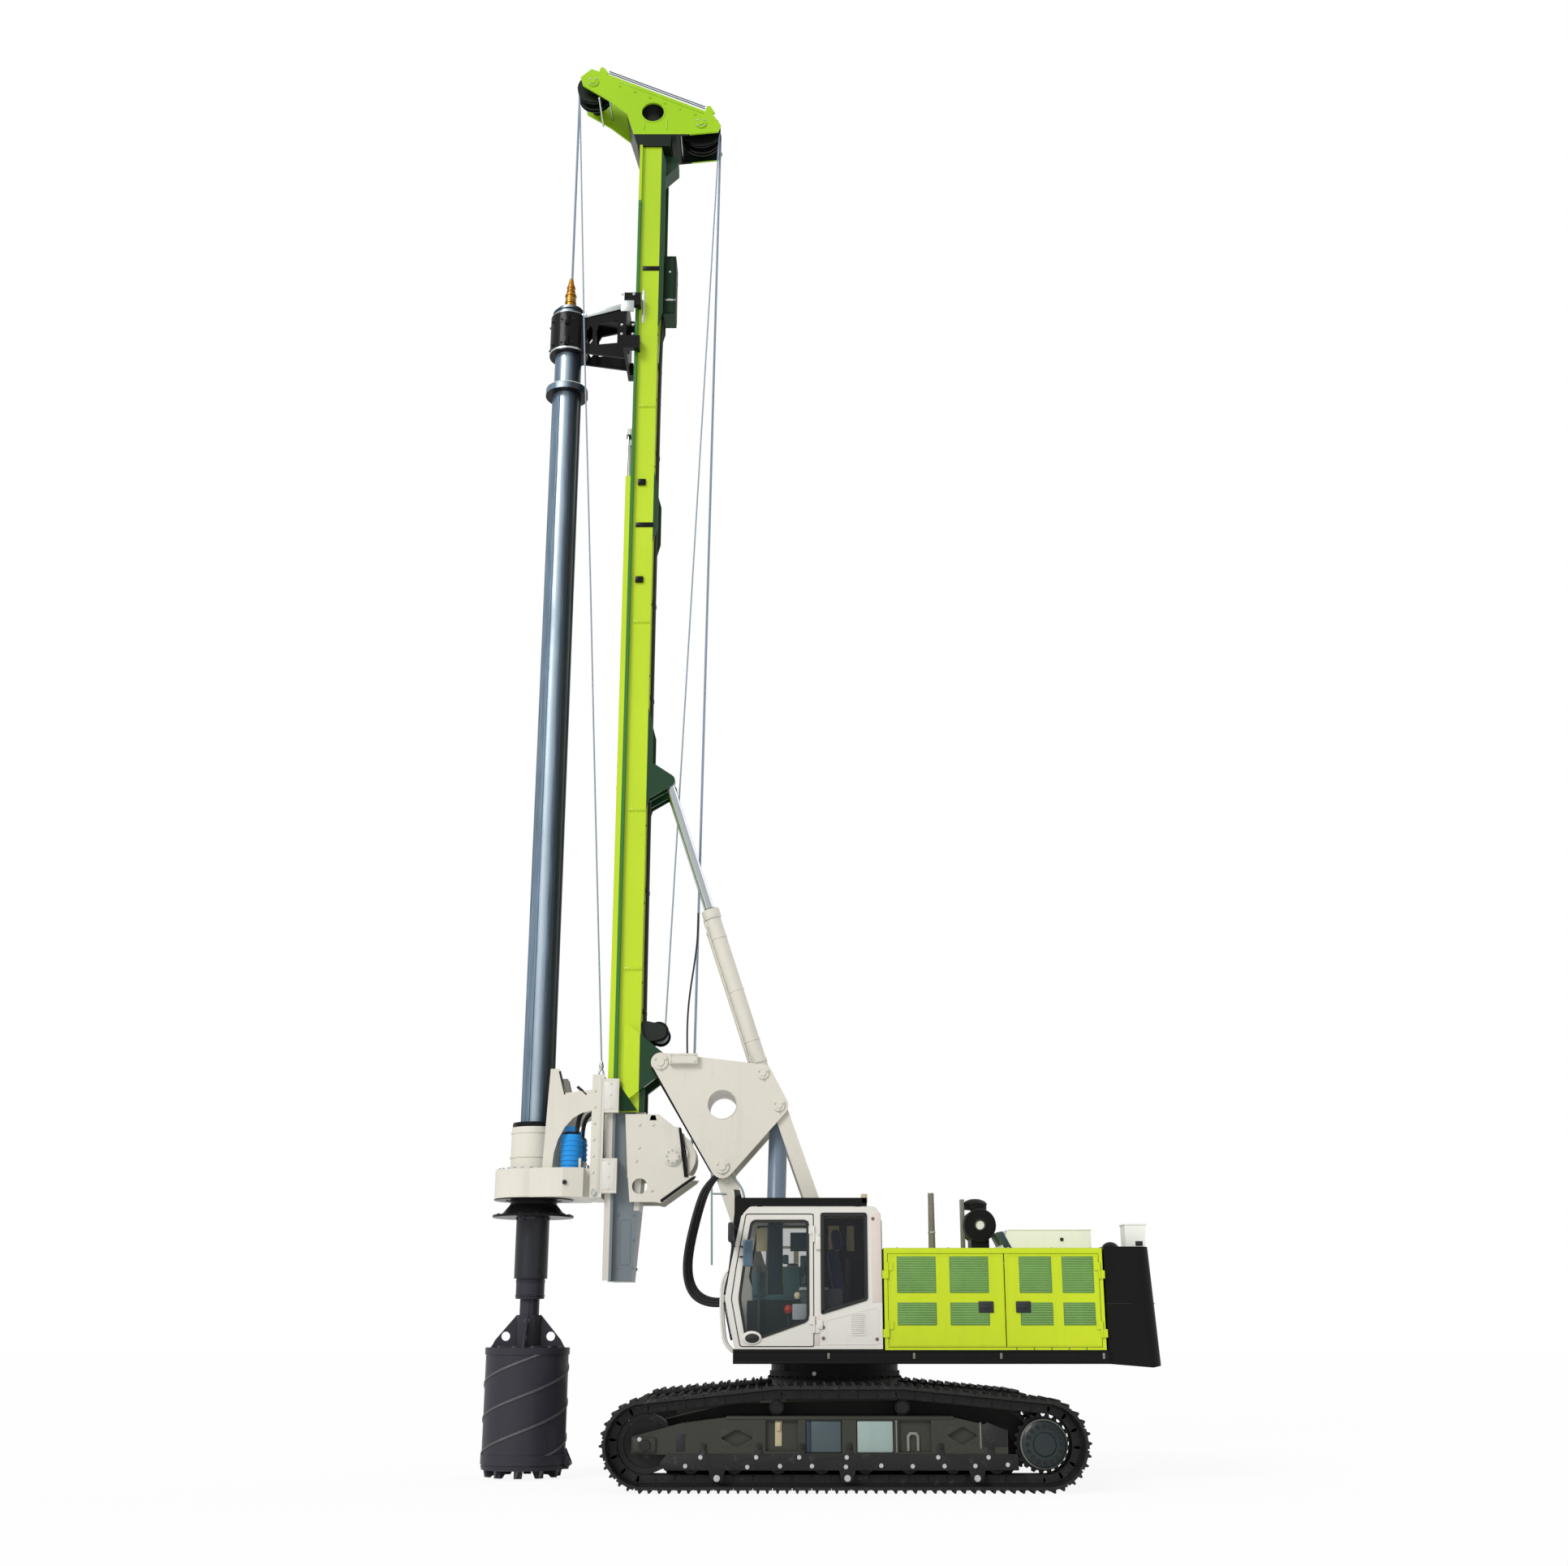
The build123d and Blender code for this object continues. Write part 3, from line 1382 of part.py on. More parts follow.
def upper_structure():
    put("deck_frame", deck_frame())
    put("boom_foot", boom_foot_bracket())
    put("cab_shell", cab_shell())
    put("cab_glass", *cab_glass())
    put("cab_door", cab_door())
    put("cab_door_glass", cab_door_glass())
    put("roof_guard", roof_guard())
    put("operator_seat", operator_seat())
    put("control_consoles", *control_consoles())
    put("hood_shell", hood_shell())
    door_edges = (hood_front - hood_wall, hood_split, hood_rear + hood_wall)
    front_door = hood_door(door_edges[1], door_edges[0], 1, front_door_grilles)
    rear_door = hood_door(door_edges[2], door_edges[1], -1, rear_door_grilles)
    put("front_door_left", front_door)
    put("rear_door_left", rear_door)
    put("front_door_right", mirror(front_door, about=Plane.XZ))
    put("rear_door_right", mirror(rear_door, about=Plane.XZ))
    put("engine", engine())
    put("right_housing", right_housing())
    put("counterweight", counterweight())
    put("air_filter", air_filter())
    cover, pipe, dome, box = roof_fittings()
    put("roof_cover", cover)
    put("exhaust_pipe", pipe)
    put("rear_dome", dome)
    put("rear_box", box)


def linkage():
    put("boom", boom())
    put("rear_links", *rear_links())
    put("luff_barrels", *luff_barrels())
    put("luff_rods", *luff_rods())
    put("triangle", triangle())
    put("mast_barrels", *mast_barrels())
    put("mast_rods", *mast_rods())


def mast():
    put("mast_upper", mast_upper())
    put("lower_mast", lower_mast())
    put("winch_frames", *winch_frame(), *aux_winch_frame())
    put("winch_drum", winch_drum())
    put("aux_winch_drum", aux_winch_drum())
    put("mast_head", mast_head())
    put("front_sheaves", sheaves(front_sheave, sheave_radius))
    put("rear_sheaves", sheaves(rear_sheave, rear_sheave_radius))
    put("cable_box", cable_box())
    put("crowd_barrel", crowd_barrel())


def drive_and_kelly():
    put("crowd_rod", crowd_rod())
    put("drive_sled", drive_sled())
    put("gear_case", gear_case())
    put("drive_motors", *drive_motors())
    put("drive_sleeve", drive_sleeve())
    put("kelly_guide", kelly_guide())
    put("kelly_outer", kelly_outer())
    put("kelly_inner", kelly_inner())
    put("rope_swivel", rope_swivel())
    put("bucket_bracket", bucket_bracket())
    put("bucket_shell", bucket_shell())
    put("bucket_door", bucket_door())


undercarriage()
upper_structure()
linkage()
mast()
drive_and_kelly()
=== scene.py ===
import math

import bmesh
import bpy
from mathutils import Matrix, Vector


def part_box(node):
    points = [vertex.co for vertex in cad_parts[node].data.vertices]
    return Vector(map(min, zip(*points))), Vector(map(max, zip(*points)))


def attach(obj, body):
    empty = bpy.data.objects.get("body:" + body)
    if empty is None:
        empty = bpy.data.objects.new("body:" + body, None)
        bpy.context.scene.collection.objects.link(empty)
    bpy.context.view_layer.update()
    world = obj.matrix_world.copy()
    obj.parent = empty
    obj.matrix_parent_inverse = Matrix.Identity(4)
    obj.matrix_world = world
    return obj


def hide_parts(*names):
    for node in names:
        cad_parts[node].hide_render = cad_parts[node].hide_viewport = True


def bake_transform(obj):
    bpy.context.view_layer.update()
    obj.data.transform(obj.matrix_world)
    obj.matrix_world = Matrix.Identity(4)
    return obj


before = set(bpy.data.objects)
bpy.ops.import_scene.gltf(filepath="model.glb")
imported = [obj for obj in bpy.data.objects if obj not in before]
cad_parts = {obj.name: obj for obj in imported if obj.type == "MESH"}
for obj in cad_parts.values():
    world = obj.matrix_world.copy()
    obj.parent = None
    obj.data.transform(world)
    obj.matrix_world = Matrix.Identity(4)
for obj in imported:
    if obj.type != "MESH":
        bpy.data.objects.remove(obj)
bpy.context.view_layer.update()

# Places are in metres from the slewing axis: X forward to the tool, Y to the machine's left, Z up.
ring_low, ring_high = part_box("slew_ring")
slew_x = (ring_low.x + ring_high.x) / 2
both = (1, -1)


# Finishes


def paint(red, green, blue):
    """Linear colour of a paint chip given in screen values."""
    return tuple(((c / 255 + 0.055) / 1.055) ** 2.4 if c > 10 else c / 255 / 12.92 for c in (red, green, blue)) + (1,)


def shade(colour, by):
    return tuple(min(c * by, 1) for c in colour[:3]) + (1,)


def operator(operation, other_first=False):
    """Method of a wire that adds one Math node."""

    def work(self, other):
        first, second = (other, self) if other_first else (self, other)
        return self.maths(operation, first, second)

    return work


class Wire:
    """A value that runs through a finish; its operators add Math nodes."""

    def __init__(self, finish, socket):
        self.finish = finish
        self.socket = socket

    def maths(self, operation, first, second=None, clamp=False):
        settings = {"operation": operation, "use_clamp": clamp}
        return self.finish.node("ShaderNodeMath", settings, {0: first, 1: second})

    __add__, __radd__ = operator("ADD"), operator("ADD", True)
    __sub__, __rsub__ = operator("SUBTRACT"), operator("SUBTRACT", True)
    __mul__, __rmul__ = operator("MULTIPLY"), operator("MULTIPLY", True)
    __gt__, __lt__ = operator("GREATER_THAN"), operator("LESS_THAN")

    def held(self):
        """The same value kept between 0 and 1."""
        return self.maths("ADD", self, 0, clamp=True)

    def size(self):
        return self.maths("ABSOLUTE", self)


class Finish:
    """One procedural material, built up from the Principled shader's sockets."""

    def __init__(self, name, **shader):
        self.material = bpy.data.materials.new(name)
        self.material.use_nodes = True
        self.tree = self.material.node_tree
        self.shader = self.tree.nodes["Principled BSDF"]
        for socket, value in shader.items():
            self.shader.inputs[socket.replace("_", " ")].default_value = value
        self.object_place = None

    def join(self, socket, value):
        if isinstance(value, Wire):
            self.tree.links.new(value.socket, socket)
        elif value is not None:
            socket.default_value = value

    def node(self, kind, settings, sockets, out=0):
        """Any node: its settings first, then the values or links of its sockets."""
        made = self.tree.nodes.new(kind)
        for key, value in settings.items():
            setattr(made, key, value)
        for key, value in sockets.items():
            self.join(made.inputs[key], value)
        return Wire(self, made.outputs[out])

    def place(self):
        if self.object_place is None:
            self.object_place = self.node("ShaderNodeTexCoord", {}, {}, "Object")
        return self.object_place

    def stretched(self, scale):
        return self.node("ShaderNodeMapping", {}, {"Vector": self.place(), "Scale": scale})

    def axes(self):
        """X from the slewing axis, Y and Z of the place, as three values."""
        split = self.node("ShaderNodeSeparateXYZ", {}, {0: self.place()})
        outputs = split.socket.node.outputs
        return Wire(self, outputs[0]) - slew_x, Wire(self, outputs[1]), Wire(self, outputs[2])

    def facing_up(self):
        normal = self.node("ShaderNodeNewGeometry", {}, {}, "Normal")
        split = self.node("ShaderNodeSeparateXYZ", {}, {0: normal})
        return Wire(self, split.socket.node.outputs[2])

    def noise(self, scale, detail=3, roughness=0.5, stretch=None):
        vector = self.stretched(stretch) if stretch else self.place()
        sockets = {"Vector": vector, "Scale": scale, "Detail": detail, "Roughness": roughness}
        return self.node("ShaderNodeTexNoise", {}, sockets)

    def wave(self, scale, direction, distortion=0, stretch=None):
        vector = self.stretched(stretch) if stretch else self.place()
        settings = {"wave_type": "BANDS", "bands_direction": direction}
        return self.node("ShaderNodeTexWave", settings, {"Vector": vector, "Scale": scale, "Distortion": distortion})

    def step(self, value, low, high):
        """0 below low, 1 above high, a straight ramp between."""
        sockets = {"Value": value, "From Min": low, "From Max": high}
        return self.node("ShaderNodeMapRange", {"clamp": True}, sockets)

    def blend(self, factor, a, b):
        settings = {"data_type": "RGBA", "clamp_factor": True}
        return self.node("ShaderNodeMix", settings, {0: factor, 6: a, 7: b}, 2)

    def feed(self, **sockets):
        for socket, value in sockets.items():
            self.join(self.shader.inputs[socket.replace("_", " ")], value)
        return self

    def bump(self, height, strength, distance):
        sockets = {"Height": height, "Strength": strength, "Distance": distance}
        self.feed(Normal=self.node("ShaderNodeBump", {}, sockets))
        return self


def enamel(name, colour, roughness=0.38, grime=0.5, dust=0.1, zones=None, gloss=0.6):
    """Sprayed machine paint: slow changes of tone, orange peel, scuffs, streaks of grime and a little dust."""
    finish = Finish(name, Coat_Roughness=0.12, Specular_IOR_Level=0.5 * gloss)
    slow = finish.noise(0.9, 4)
    scuff = finish.step(finish.noise(7, 9, 0.72), 0.56, 0.74)
    streak = finish.step(finish.noise(2.2, 6, 0.6, (3.5, 3.5, 0.35)), 0.5, 0.8)
    base = zones(finish, colour) if zones else colour
    toned = finish.blend(finish.step(slow, 0.3, 0.7), finish.blend(0.05, base, (0, 0, 0, 1)), base)
    soiled = finish.blend((scuff * 0.10 + streak * 0.12) * grime, toned, paint(70, 66, 58))
    settled = finish.step(finish.facing_up(), 0.55, 1) * finish.step(slow, 0.25, 0.75) * dust
    finish.feed(Base_Color=finish.blend(settled, soiled, paint(176, 168, 150)))
    finish.feed(Roughness=roughness + scuff * 0.14 + settled * 0.4, Coat_Weight=(0.3 - scuff * 0.2) * gloss)
    peel = finish.noise(210, 2)
    return finish.bump(peel * 0.25 + scuff * 0.12 + slow * 0.6, 0.12, 0.002).material


def casting(name, colour, roughness=0.62, metallic=0.0, soil=0.35, shine=0.0):
    """Bare or primed heavy steel: mill scale, fine pitting, packed soil in patches and worn bright spots."""
    finish = Finish(name)
    pits = finish.noise(46, 8, 0.7)
    patches = finish.noise(3.1, 6, 0.62)
    earth = finish.step(patches, 0.52, 0.75) * soil
    wear_and_highlight = finish.step(finish.noise(11, 7, 0.66), 0.58, 0.75) * shine
    body = finish.blend(finish.step(pits, 0.35, 0.7), shade(colour, 0.78), shade(colour, 1.2))
    bright = finish.blend(wear_and_highlight, body, paint(128, 130, 132))
    finish.feed(Base_Color=finish.blend(earth, bright, paint(74, 66, 54)))
    finish.feed(Roughness=roughness + earth * 0.25 - wear_and_highlight * 0.25, Metallic=metallic + wear_and_highlight * 0.6)
    return finish.bump(pits * 0.5 + patches * 0.5, 0.35, 0.003).material


def ground_steel(name, colour, roughness, direction="Z", grease=0.0):
    """Turned or rolled bright steel with fine lines round it and smears of grease."""
    finish = Finish(name, Metallic=1.0)
    lines = finish.wave(240, direction, 2.0)
    smear = finish.step(finish.noise(2.6, 7, 0.64, (1, 1, 0.4)), 0.45, 0.75)
    finish.feed(Base_Color=finish.blend(smear * (0.25 + grease), colour, shade(colour, 0.45)))
    finish.feed(Roughness=roughness + smear * 0.16 + lines * 0.03)
    return finish.bump(lines, 0.06, 0.0008).material


def rolled_kelly(name):
    """Blue-grey drawn tube: long drawing marks, grease smears, a painted highlight strip down its lit side, painted
    shade on its rear side and a darker foot below the drive.
    """
    finish = Finish(name)
    drawn = finish.noise(16, 6, 0.6, (7, 7, 0.12))
    smear = finish.step(finish.noise(1.4, 6, 0.6, (1.4, 1.4, 0.5)), 0.42, 0.72)
    x, y, z = finish.axes()
    steel = finish.blend(finish.step(drawn, 0.3, 0.72), paint(66, 90, 112), paint(140, 162, 180))
    # painted highlight: a pale strip down the tube's lit side
    wear_and_highlight = finish.blend(finish.step(x, 3.69, 3.75) * finish.step(x, 3.85, 3.78), steel, paint(176, 192, 204))
    # painted shade on the tube's rear side; below the drive the tube is darker
    painted_shade_and_dark_foot = (finish.step(x, 3.71, 3.65) * 0.9 + finish.step(z, 3.2, 3.0)).held()
    stained = finish.blend(smear * 0.4, wear_and_highlight, paint(38, 50, 64))
    finish.feed(Base_Color=finish.blend(painted_shade_and_dark_foot, stained, paint(16, 19, 28)))
    finish.feed(Roughness=0.34 + smear * 0.2 - drawn * 0.08, Metallic=0.4 - painted_shade_and_dark_foot * 0.35)
    return finish.bump(drawn, 0.1, 0.002).material


def rubber(name, colour, roughness=0.6, wrap=260):
    finish = Finish(name)
    fine = finish.noise(wrap, 3)
    cloud = finish.noise(4, 5, 0.6)
    finish.feed(Base_Color=finish.blend(finish.step(cloud, 0.3, 0.75), colour, shade(colour, 1.7)))
    finish.feed(Roughness=roughness + cloud * 0.15)
    return finish.bump(fine, 0.25, 0.0015).material


def moulded(name, colour, roughness=0.55):
    """Grained plastic."""
    finish = Finish(name)
    grain = finish.node("ShaderNodeTexVoronoi", {"feature": "F1"}, {"Vector": finish.place(), "Scale": 420})
    cloud = finish.noise(3, 4)
    finish.feed(Base_Color=finish.blend(cloud, shade(colour, 0.85), shade(colour, 1.15)))
    finish.feed(Roughness=roughness + grain * 0.15)
    return finish.bump(grain, 0.2, 0.001).material


def woven(name, colour, thread):
    """Seat cover cloth: two crossing threads, a little lint."""
    finish = Finish(name, Sheen_Weight=0.25, Sheen_Roughness=0.5)
    across = finish.wave(150, "Y")
    along = finish.wave(150, "Z")
    lint = finish.noise(28, 6, 0.7)
    weave = across * along
    finish.feed(Base_Color=finish.blend(weave * 0.5 + lint * 0.25, colour, thread), Roughness=0.86 + weave * 0.08)
    return finish.bump(weave, 0.5, 0.0012).material


def tinted_glass(name):
    """Dark tinted pane: nearly opaque behind the door, clearer in the door and in front, faint dust in patches."""
    finish = Finish(name, Specular_IOR_Level=0.7, Roughness=0.03)
    x, y, z = finish.axes()
    film = finish.noise(2.1, 5, 0.6)
    behind = (x < 0.2) * (y > 0)
    finish.feed(Base_Color=finish.blend(behind, paint(52, 66, 66), paint(10, 14, 22)))
    finish.feed(Alpha=0.2 + behind * 0.14 + finish.step(film, 0.5, 0.9) * 0.08)
    return finish.feed(Roughness=0.03 + finish.step(film, 0.5, 0.9) * 0.1).material


def stranded(name, colour, pitch):
    """Wire rope that runs upright: strands that wind round it."""
    finish = Finish(name, Metallic=0.2)
    strands = finish.wave(pitch, "DIAGONAL", 0, (6, 6, 1))
    grease = finish.noise(3.2, 4)
    finish.feed(Base_Color=finish.blend(strands, shade(colour, 0.7), colour), Roughness=0.42 + grease * 0.2)
    return finish.bump(strands, 0.7, 0.004).material


def screen(name, colour):
    """Punched cooling screen: rows of holes in a painted sheet."""
    finish = Finish(name)
    across = finish.wave(70, "X")
    down = finish.wave(70, "Z")
    hole = finish.step(across * down, 0.3, 0.5)
    dust = finish.noise(5, 6, 0.65)
    lit = finish.blend(finish.step(dust, 0.35, 0.75), shade(colour, 0.8), shade(colour, 1.2))
    finish.feed(Base_Color=finish.blend(hole, lit, shade(colour, 0.22)), Roughness=0.5 + dust * 0.25)
    return finish.bump(1 - hole, 0.4, 0.002).material


def head_painted_shade_zones(finish, colour):
    """Lime outside; painted shade, near black, on the inner faces and undersides."""
    x, y, z = finish.axes()
    # painted shade: inner faces, the far plate's rear inner face and the undersides
    inner = (y.size() < 0.3195) + (y.size() < 0.3205) * (x < 2.9) + (z < 18.77)
    return finish.blend(inner.held(), colour, paint(12, 26, 14))


def mast_zones_with_painted_shade(finish, colour):
    """Lime that turns yellower downwards, a painted shadow in dark green on the strip behind the guide flange and
    painted shade on the rear edge.
    """
    x, y, z = finish.axes()
    lower = finish.blend(finish.step(z, 17.5, 12.5), colour, paint(186, 214, 34))
    # painted shadow of the guide flange on the strip behind it
    recess = finish.blend((x > 2.716) * (x < 2.7615) * (z < 17.6), lower, paint(52, 118, 44))
    # painted shade on the rear edge
    return finish.blend(x < 2.4385, recess, paint(20, 58, 32))


def foot_zones(finish, colour):
    """Slate with a light grey front strip and a light rear edge."""
    x, y, z = finish.axes()
    light = (x > 2.755) + (x < 2.47) * (z > 3.1)
    return finish.blend(light.held(), colour, paint(206, 202, 192))


def winch_zones(finish, colour):
    """Beige, but near black on the small winch's plates high on the mast."""
    x, y, z = finish.axes()
    return finish.blend(z > 4.9, colour, paint(20, 30, 24))


def in_slot(slot, *finishes):
    """The finishes, unchanged, grouped under a material slot's name; the name is not used."""
    return finishes


track_steel, roller_steel, worn_edge, hub_steel = in_slot(
    "track_black",
    casting("track_steel", paint(12, 11, 11), 0.66, 0.1, 0.06, 0.2),
    casting("roller_steel", paint(22, 22, 23), 0.5, 0.2, 0.1, 0.3),
    casting("worn_shoe_edge", paint(44, 42, 38), 0.5, 0.3, 0.1, 0.8),
    enamel("hub_paint", paint(28, 40, 42), 0.4, 0.6),
)
olive, painted_shadow_steel, plate_pale, plate_grey = in_slot(
    "frame_olive",
    casting("frame_olive_steel", paint(40, 42, 32), 0.6, soil=0.15),
    # near-black steel for the plates that stand in for the shadow inside the tracks: painted shadow
    casting("inner_shadow_plate_steel", paint(14, 14, 12), 0.7, soil=0.1),
    enamel("pale_frame_plate_paint", paint(146, 164, 160), 0.36, 0.7),
    enamel("grey_frame_plate_paint", paint(66, 80, 84), 0.4, 0.7),
)
deck_black, weight_black, black_ring, box_black, hose_black, seal_black = in_slot(
    "deck_black",
    enamel("deck_black_paint", paint(14, 15, 15), 0.5, 0.3, 0.04, gloss=0.25),
    enamel("weight_black_paint", paint(12, 13, 12), 0.5, 0.25, 0.03, gloss=0.25),
    enamel("black_ring_paint", paint(18, 18, 20), 0.32, 0.3, 0.05, gloss=0.25),
    enamel("cable_box_paint", paint(24, 30, 28), 0.4, 0.4, gloss=0.25),
    rubber("hose_rubber", paint(18, 18, 19)),
    rubber("seal_rubber", paint(12, 13, 14), 0.5, 120),
)
warm_grey, cab_grey, ivory, tan_paint, pink_grey, rust_bolt = in_slot(
    "warm_grey",
    enamel("warm_grey_paint", paint(214, 210, 198), 0.4, 0.7),
    enamel("cab_grey_paint", paint(216, 214, 206), 0.36, 0.4),
    enamel("ivory_cover_paint", paint(234, 234, 226), 0.35, 0.4),
    enamel("tan_lamp_paint", paint(176, 166, 132), 0.4, 0.4),
    enamel("pink_grey_paint", paint(212, 200, 192), 0.38, 0.3),
    casting("rusty_screws", paint(120, 96, 82), 0.6),
)
plastic, dash_grey, console_grey, knob_red, interior_teal, interior_navy, interior_dark, cream = in_slot(
    "trim_plastic",
    moulded("black_plastic", paint(28, 29, 31)),
    moulded("dash_plastic", paint(74, 78, 84)),
    moulded("console_lid_plastic", paint(176, 184, 188), 0.5),
    moulded("red_knob_plastic", paint(206, 38, 28), 0.35),
    moulded("interior_teal_plastic", paint(84, 116, 122), 0.5),
    moulded("interior_navy_plastic", paint(22, 44, 62), 0.5),
    moulded("interior_dark_plastic", paint(10, 14, 22), 0.6),
    moulded("cream_plastic", paint(238, 228, 180), 0.4),
)
seat_cloth, = in_slot("seat_fabric", woven("seat_cloth", paint(28, 44, 84), paint(52, 72, 118)))
lime, hood_lime, head_lime, green_screen, green_rib, leaf_green = in_slot(
    "lime",
    # mast paint with painted shadow behind the guide flange and painted shade on the rear edge
    enamel("lime_paint", paint(170, 205, 22), 0.34, zones=mast_zones_with_painted_shade),
    enamel("hood_lime_paint", paint(194, 214, 24), 0.36, 0.6),
    # head paint with painted shade on its inner faces and undersides
    enamel("head_lime_paint_with_painted_shade", paint(156, 202, 24), 0.34, zones=head_painted_shade_zones, gloss=0.4),
    screen("green_screen", paint(104, 152, 78)),
    enamel("green_rib_paint", paint(122, 168, 84), 0.4, 0.6),
    enamel("leaf_green_paint", paint(70, 138, 52), 0.36, 0.5),
)
slate, plate_blue, grey_post, scoop_slate, pipe_brown = in_slot(
    "slate_grey",
    enamel("slate_paint", paint(112, 122, 128), 0.42, 0.7, zones=foot_zones),
    enamel("mirror_shell_paint", paint(84, 100, 116), 0.36, 0.3),
    enamel("grey_post_paint", paint(120, 122, 112), 0.45, 0.8),
    enamel("scoop_paint", paint(40, 62, 66), 0.4, 0.5),
    casting("exhaust_pipe_skin", paint(122, 112, 104), 0.6, soil=0.15),
)
chrome, bright, silver, rope_steel, thin_rope_steel = in_slot(
    "chrome_rod",
    ground_steel("chromed_rod", paint(214, 220, 226), 0.12),
    ground_steel("bright_bolts", paint(205, 207, 210), 0.3),
    ground_steel("clamp_silver", paint(206, 214, 212), 0.34, grease=0.1),
    stranded("hoist_rope_steel", paint(160, 180, 202), 26),
    stranded("thin_rope_steel", paint(186, 200, 216), 40),
)
box_green, = in_slot("box_green", enamel("box_green_paint", paint(18, 52, 28), 0.42, 0.4, gloss=0.25))
motor_blue, = in_slot("motor_blue", enamel("motor_blue_paint", paint(28, 148, 226), 0.34, 0.3))
kelly_steel, = in_slot("kelly_blue", rolled_kelly("kelly_steel"))
tool_grey, tooth_steel = in_slot(
    "tool_grey",
    enamel("tool_grey_paint", paint(46, 45, 54), 0.5, 0.7, 0.05, gloss=0.4),
    casting("tooth_steel", paint(92, 92, 96), 0.5, 0.5, 0.3, 0.8),
)
bronze, = in_slot("swivel_brown", ground_steel("swivel_bronze", paint(176, 124, 52), 0.36, grease=0.35))
mirror_glass, lamp_glass = in_slot(
    "cab_glass",
    ground_steel("mirror_face", paint(96, 116, 132), 0.06),
    enamel("lamp_lens", paint(226, 230, 226), 0.1, 0.1),
)
barrel_blue, barrel_dark = in_slot(
    "steel_blue",
    enamel("barrel_blue_paint", paint(112, 128, 146), 0.34, 0.5),
    enamel("dark_blue_paint", paint(36, 50, 64), 0.4, 0.5),
)
glass = tinted_glass("tinted_glass")
winch_beige = enamel("winch_paint", paint(214, 210, 198), 0.4, 0.7, zones=winch_zones)
engine_grey = casting("engine_casting", paint(120, 122, 122), 0.6, soil=0.2)

node_finishes = {track_steel: "track_left track_right slew_ring",
    roller_steel: "drive_sprockets front_idlers track_rollers", olive: "track_frames car_body",
    deck_black: "deck_frame roof_guard air_filter rear_dome aux_winch_drum", weight_black: "counterweight",
    warm_grey: "boom_foot boom rear_links triangle mast_barrels winch_drum crowd_barrel drive_sled gear_case",
    winch_beige: "winch_frames", cab_grey: "cab_shell cab_door", ivory: "roof_cover rear_box",
    grey_post: "exhaust_pipe", glass: "cab_glass cab_door_glass", seat_cloth: "operator_seat",
    dash_grey: "control_consoles",
    hood_lime: "hood_shell front_door_left rear_door_left front_door_right rear_door_right right_housing",
    engine_grey: "engine", barrel_blue: "luff_barrels", chrome: "luff_rods mast_rods crowd_rod", lime: "mast_upper",
    slate: "lower_mast", head_lime: "mast_head front_sheaves", black_ring: "rear_sheaves kelly_guide drive_sleeve",
    box_green: "cable_box", motor_blue: "drive_motors", kelly_steel: "kelly_outer",
    tool_grey: "kelly_inner bucket_bracket bucket_shell bucket_door", bronze: "rope_swivel"}
for finish, nodes in node_finishes.items():
    for node in nodes.split():
        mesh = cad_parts[node].data
        mesh.materials.clear()
        mesh.materials.append(finish)


# Making pieces


def facing(point, direction):
    """Matrix that stands a part's Z axis along a direction at a point."""
    turn = Vector(direction).to_track_quat("Z", "Y").to_matrix().to_4x4()
    return Matrix.Translation(point) @ turn


def slab(bm, x, y, z, rounding=0.0):
    """Box between three pairs of coordinates, with its edges rounded."""
    pairs = [sorted(pair) for pair in (x, y, z)]
    middle = Vector([(low + high) / 2 for low, high in pairs])
    size = Vector([high - low for low, high in pairs])
    made = bmesh.ops.create_cube(bm, size=1, matrix=Matrix.LocRotScale(middle, None, size))
    if rounding:
        edges = list({edge for corner in made["verts"] for edge in corner.link_edges})
        offset = min(rounding, min(size) * 0.4)
        bmesh.ops.bevel(bm, geom=edges, offset=offset, affect="EDGES", segments=2, profile=0.5, material=-1)


def rod(bm, start, end, radius, sides=20):
    """Round bar between two points."""
    start, end = Vector(start), Vector(end)
    bmesh.ops.create_cone(bm, cap_ends=True, segments=sides, radius1=radius, radius2=radius,
        depth=(end - start).length, matrix=facing((start + end) / 2, end - start))


def thickened(part, faces, thickness):
    """Give flat faces in the side view a thickness along Y."""
    grown = bmesh.ops.extrude_face_region(part, geom=faces)
    top = [item for item in grown["geom"] if isinstance(item, bmesh.types.BMVert)]
    bmesh.ops.translate(part, verts=top, vec=(0, thickness, 0))
    bmesh.ops.recalc_face_normals(part, faces=part.faces)


def plate(outline, thickness, rounding=0.0):
    """Plate whose side view is an outline of (x, z), from y 0 to its thickness."""
    part = bmesh.new()
    face = part.faces.new([part.verts.new((x, 0, z)) for x, z in outline])
    thickened(part, [face], thickness)
    if rounding:
        bmesh.ops.bevel(part, geom=part.edges[:], offset=rounding, affect="EDGES", segments=2,
            profile=0.5, material=-1)
    return part


def seal(outline, corner, width, thickness):
    """Flat frame inside an outline of (x, z), with rounded corners, as round a window."""
    part = bmesh.new()
    part.faces.new([part.verts.new((x, 0, z)) for x, z in outline])
    bmesh.ops.bevel(part, geom=part.verts[:], offset=corner, affect="VERTICES", segments=4, profile=0.5, material=-1)
    ring = bmesh.ops.inset_region(part, faces=part.faces[:], thickness=width, use_boundary=True, use_even_offset=True)
    middle = [face for face in part.faces if face not in ring["faces"]]
    bmesh.ops.delete(part, geom=middle, context="FACES")
    thickened(part, part.faces[:], thickness)
    return part


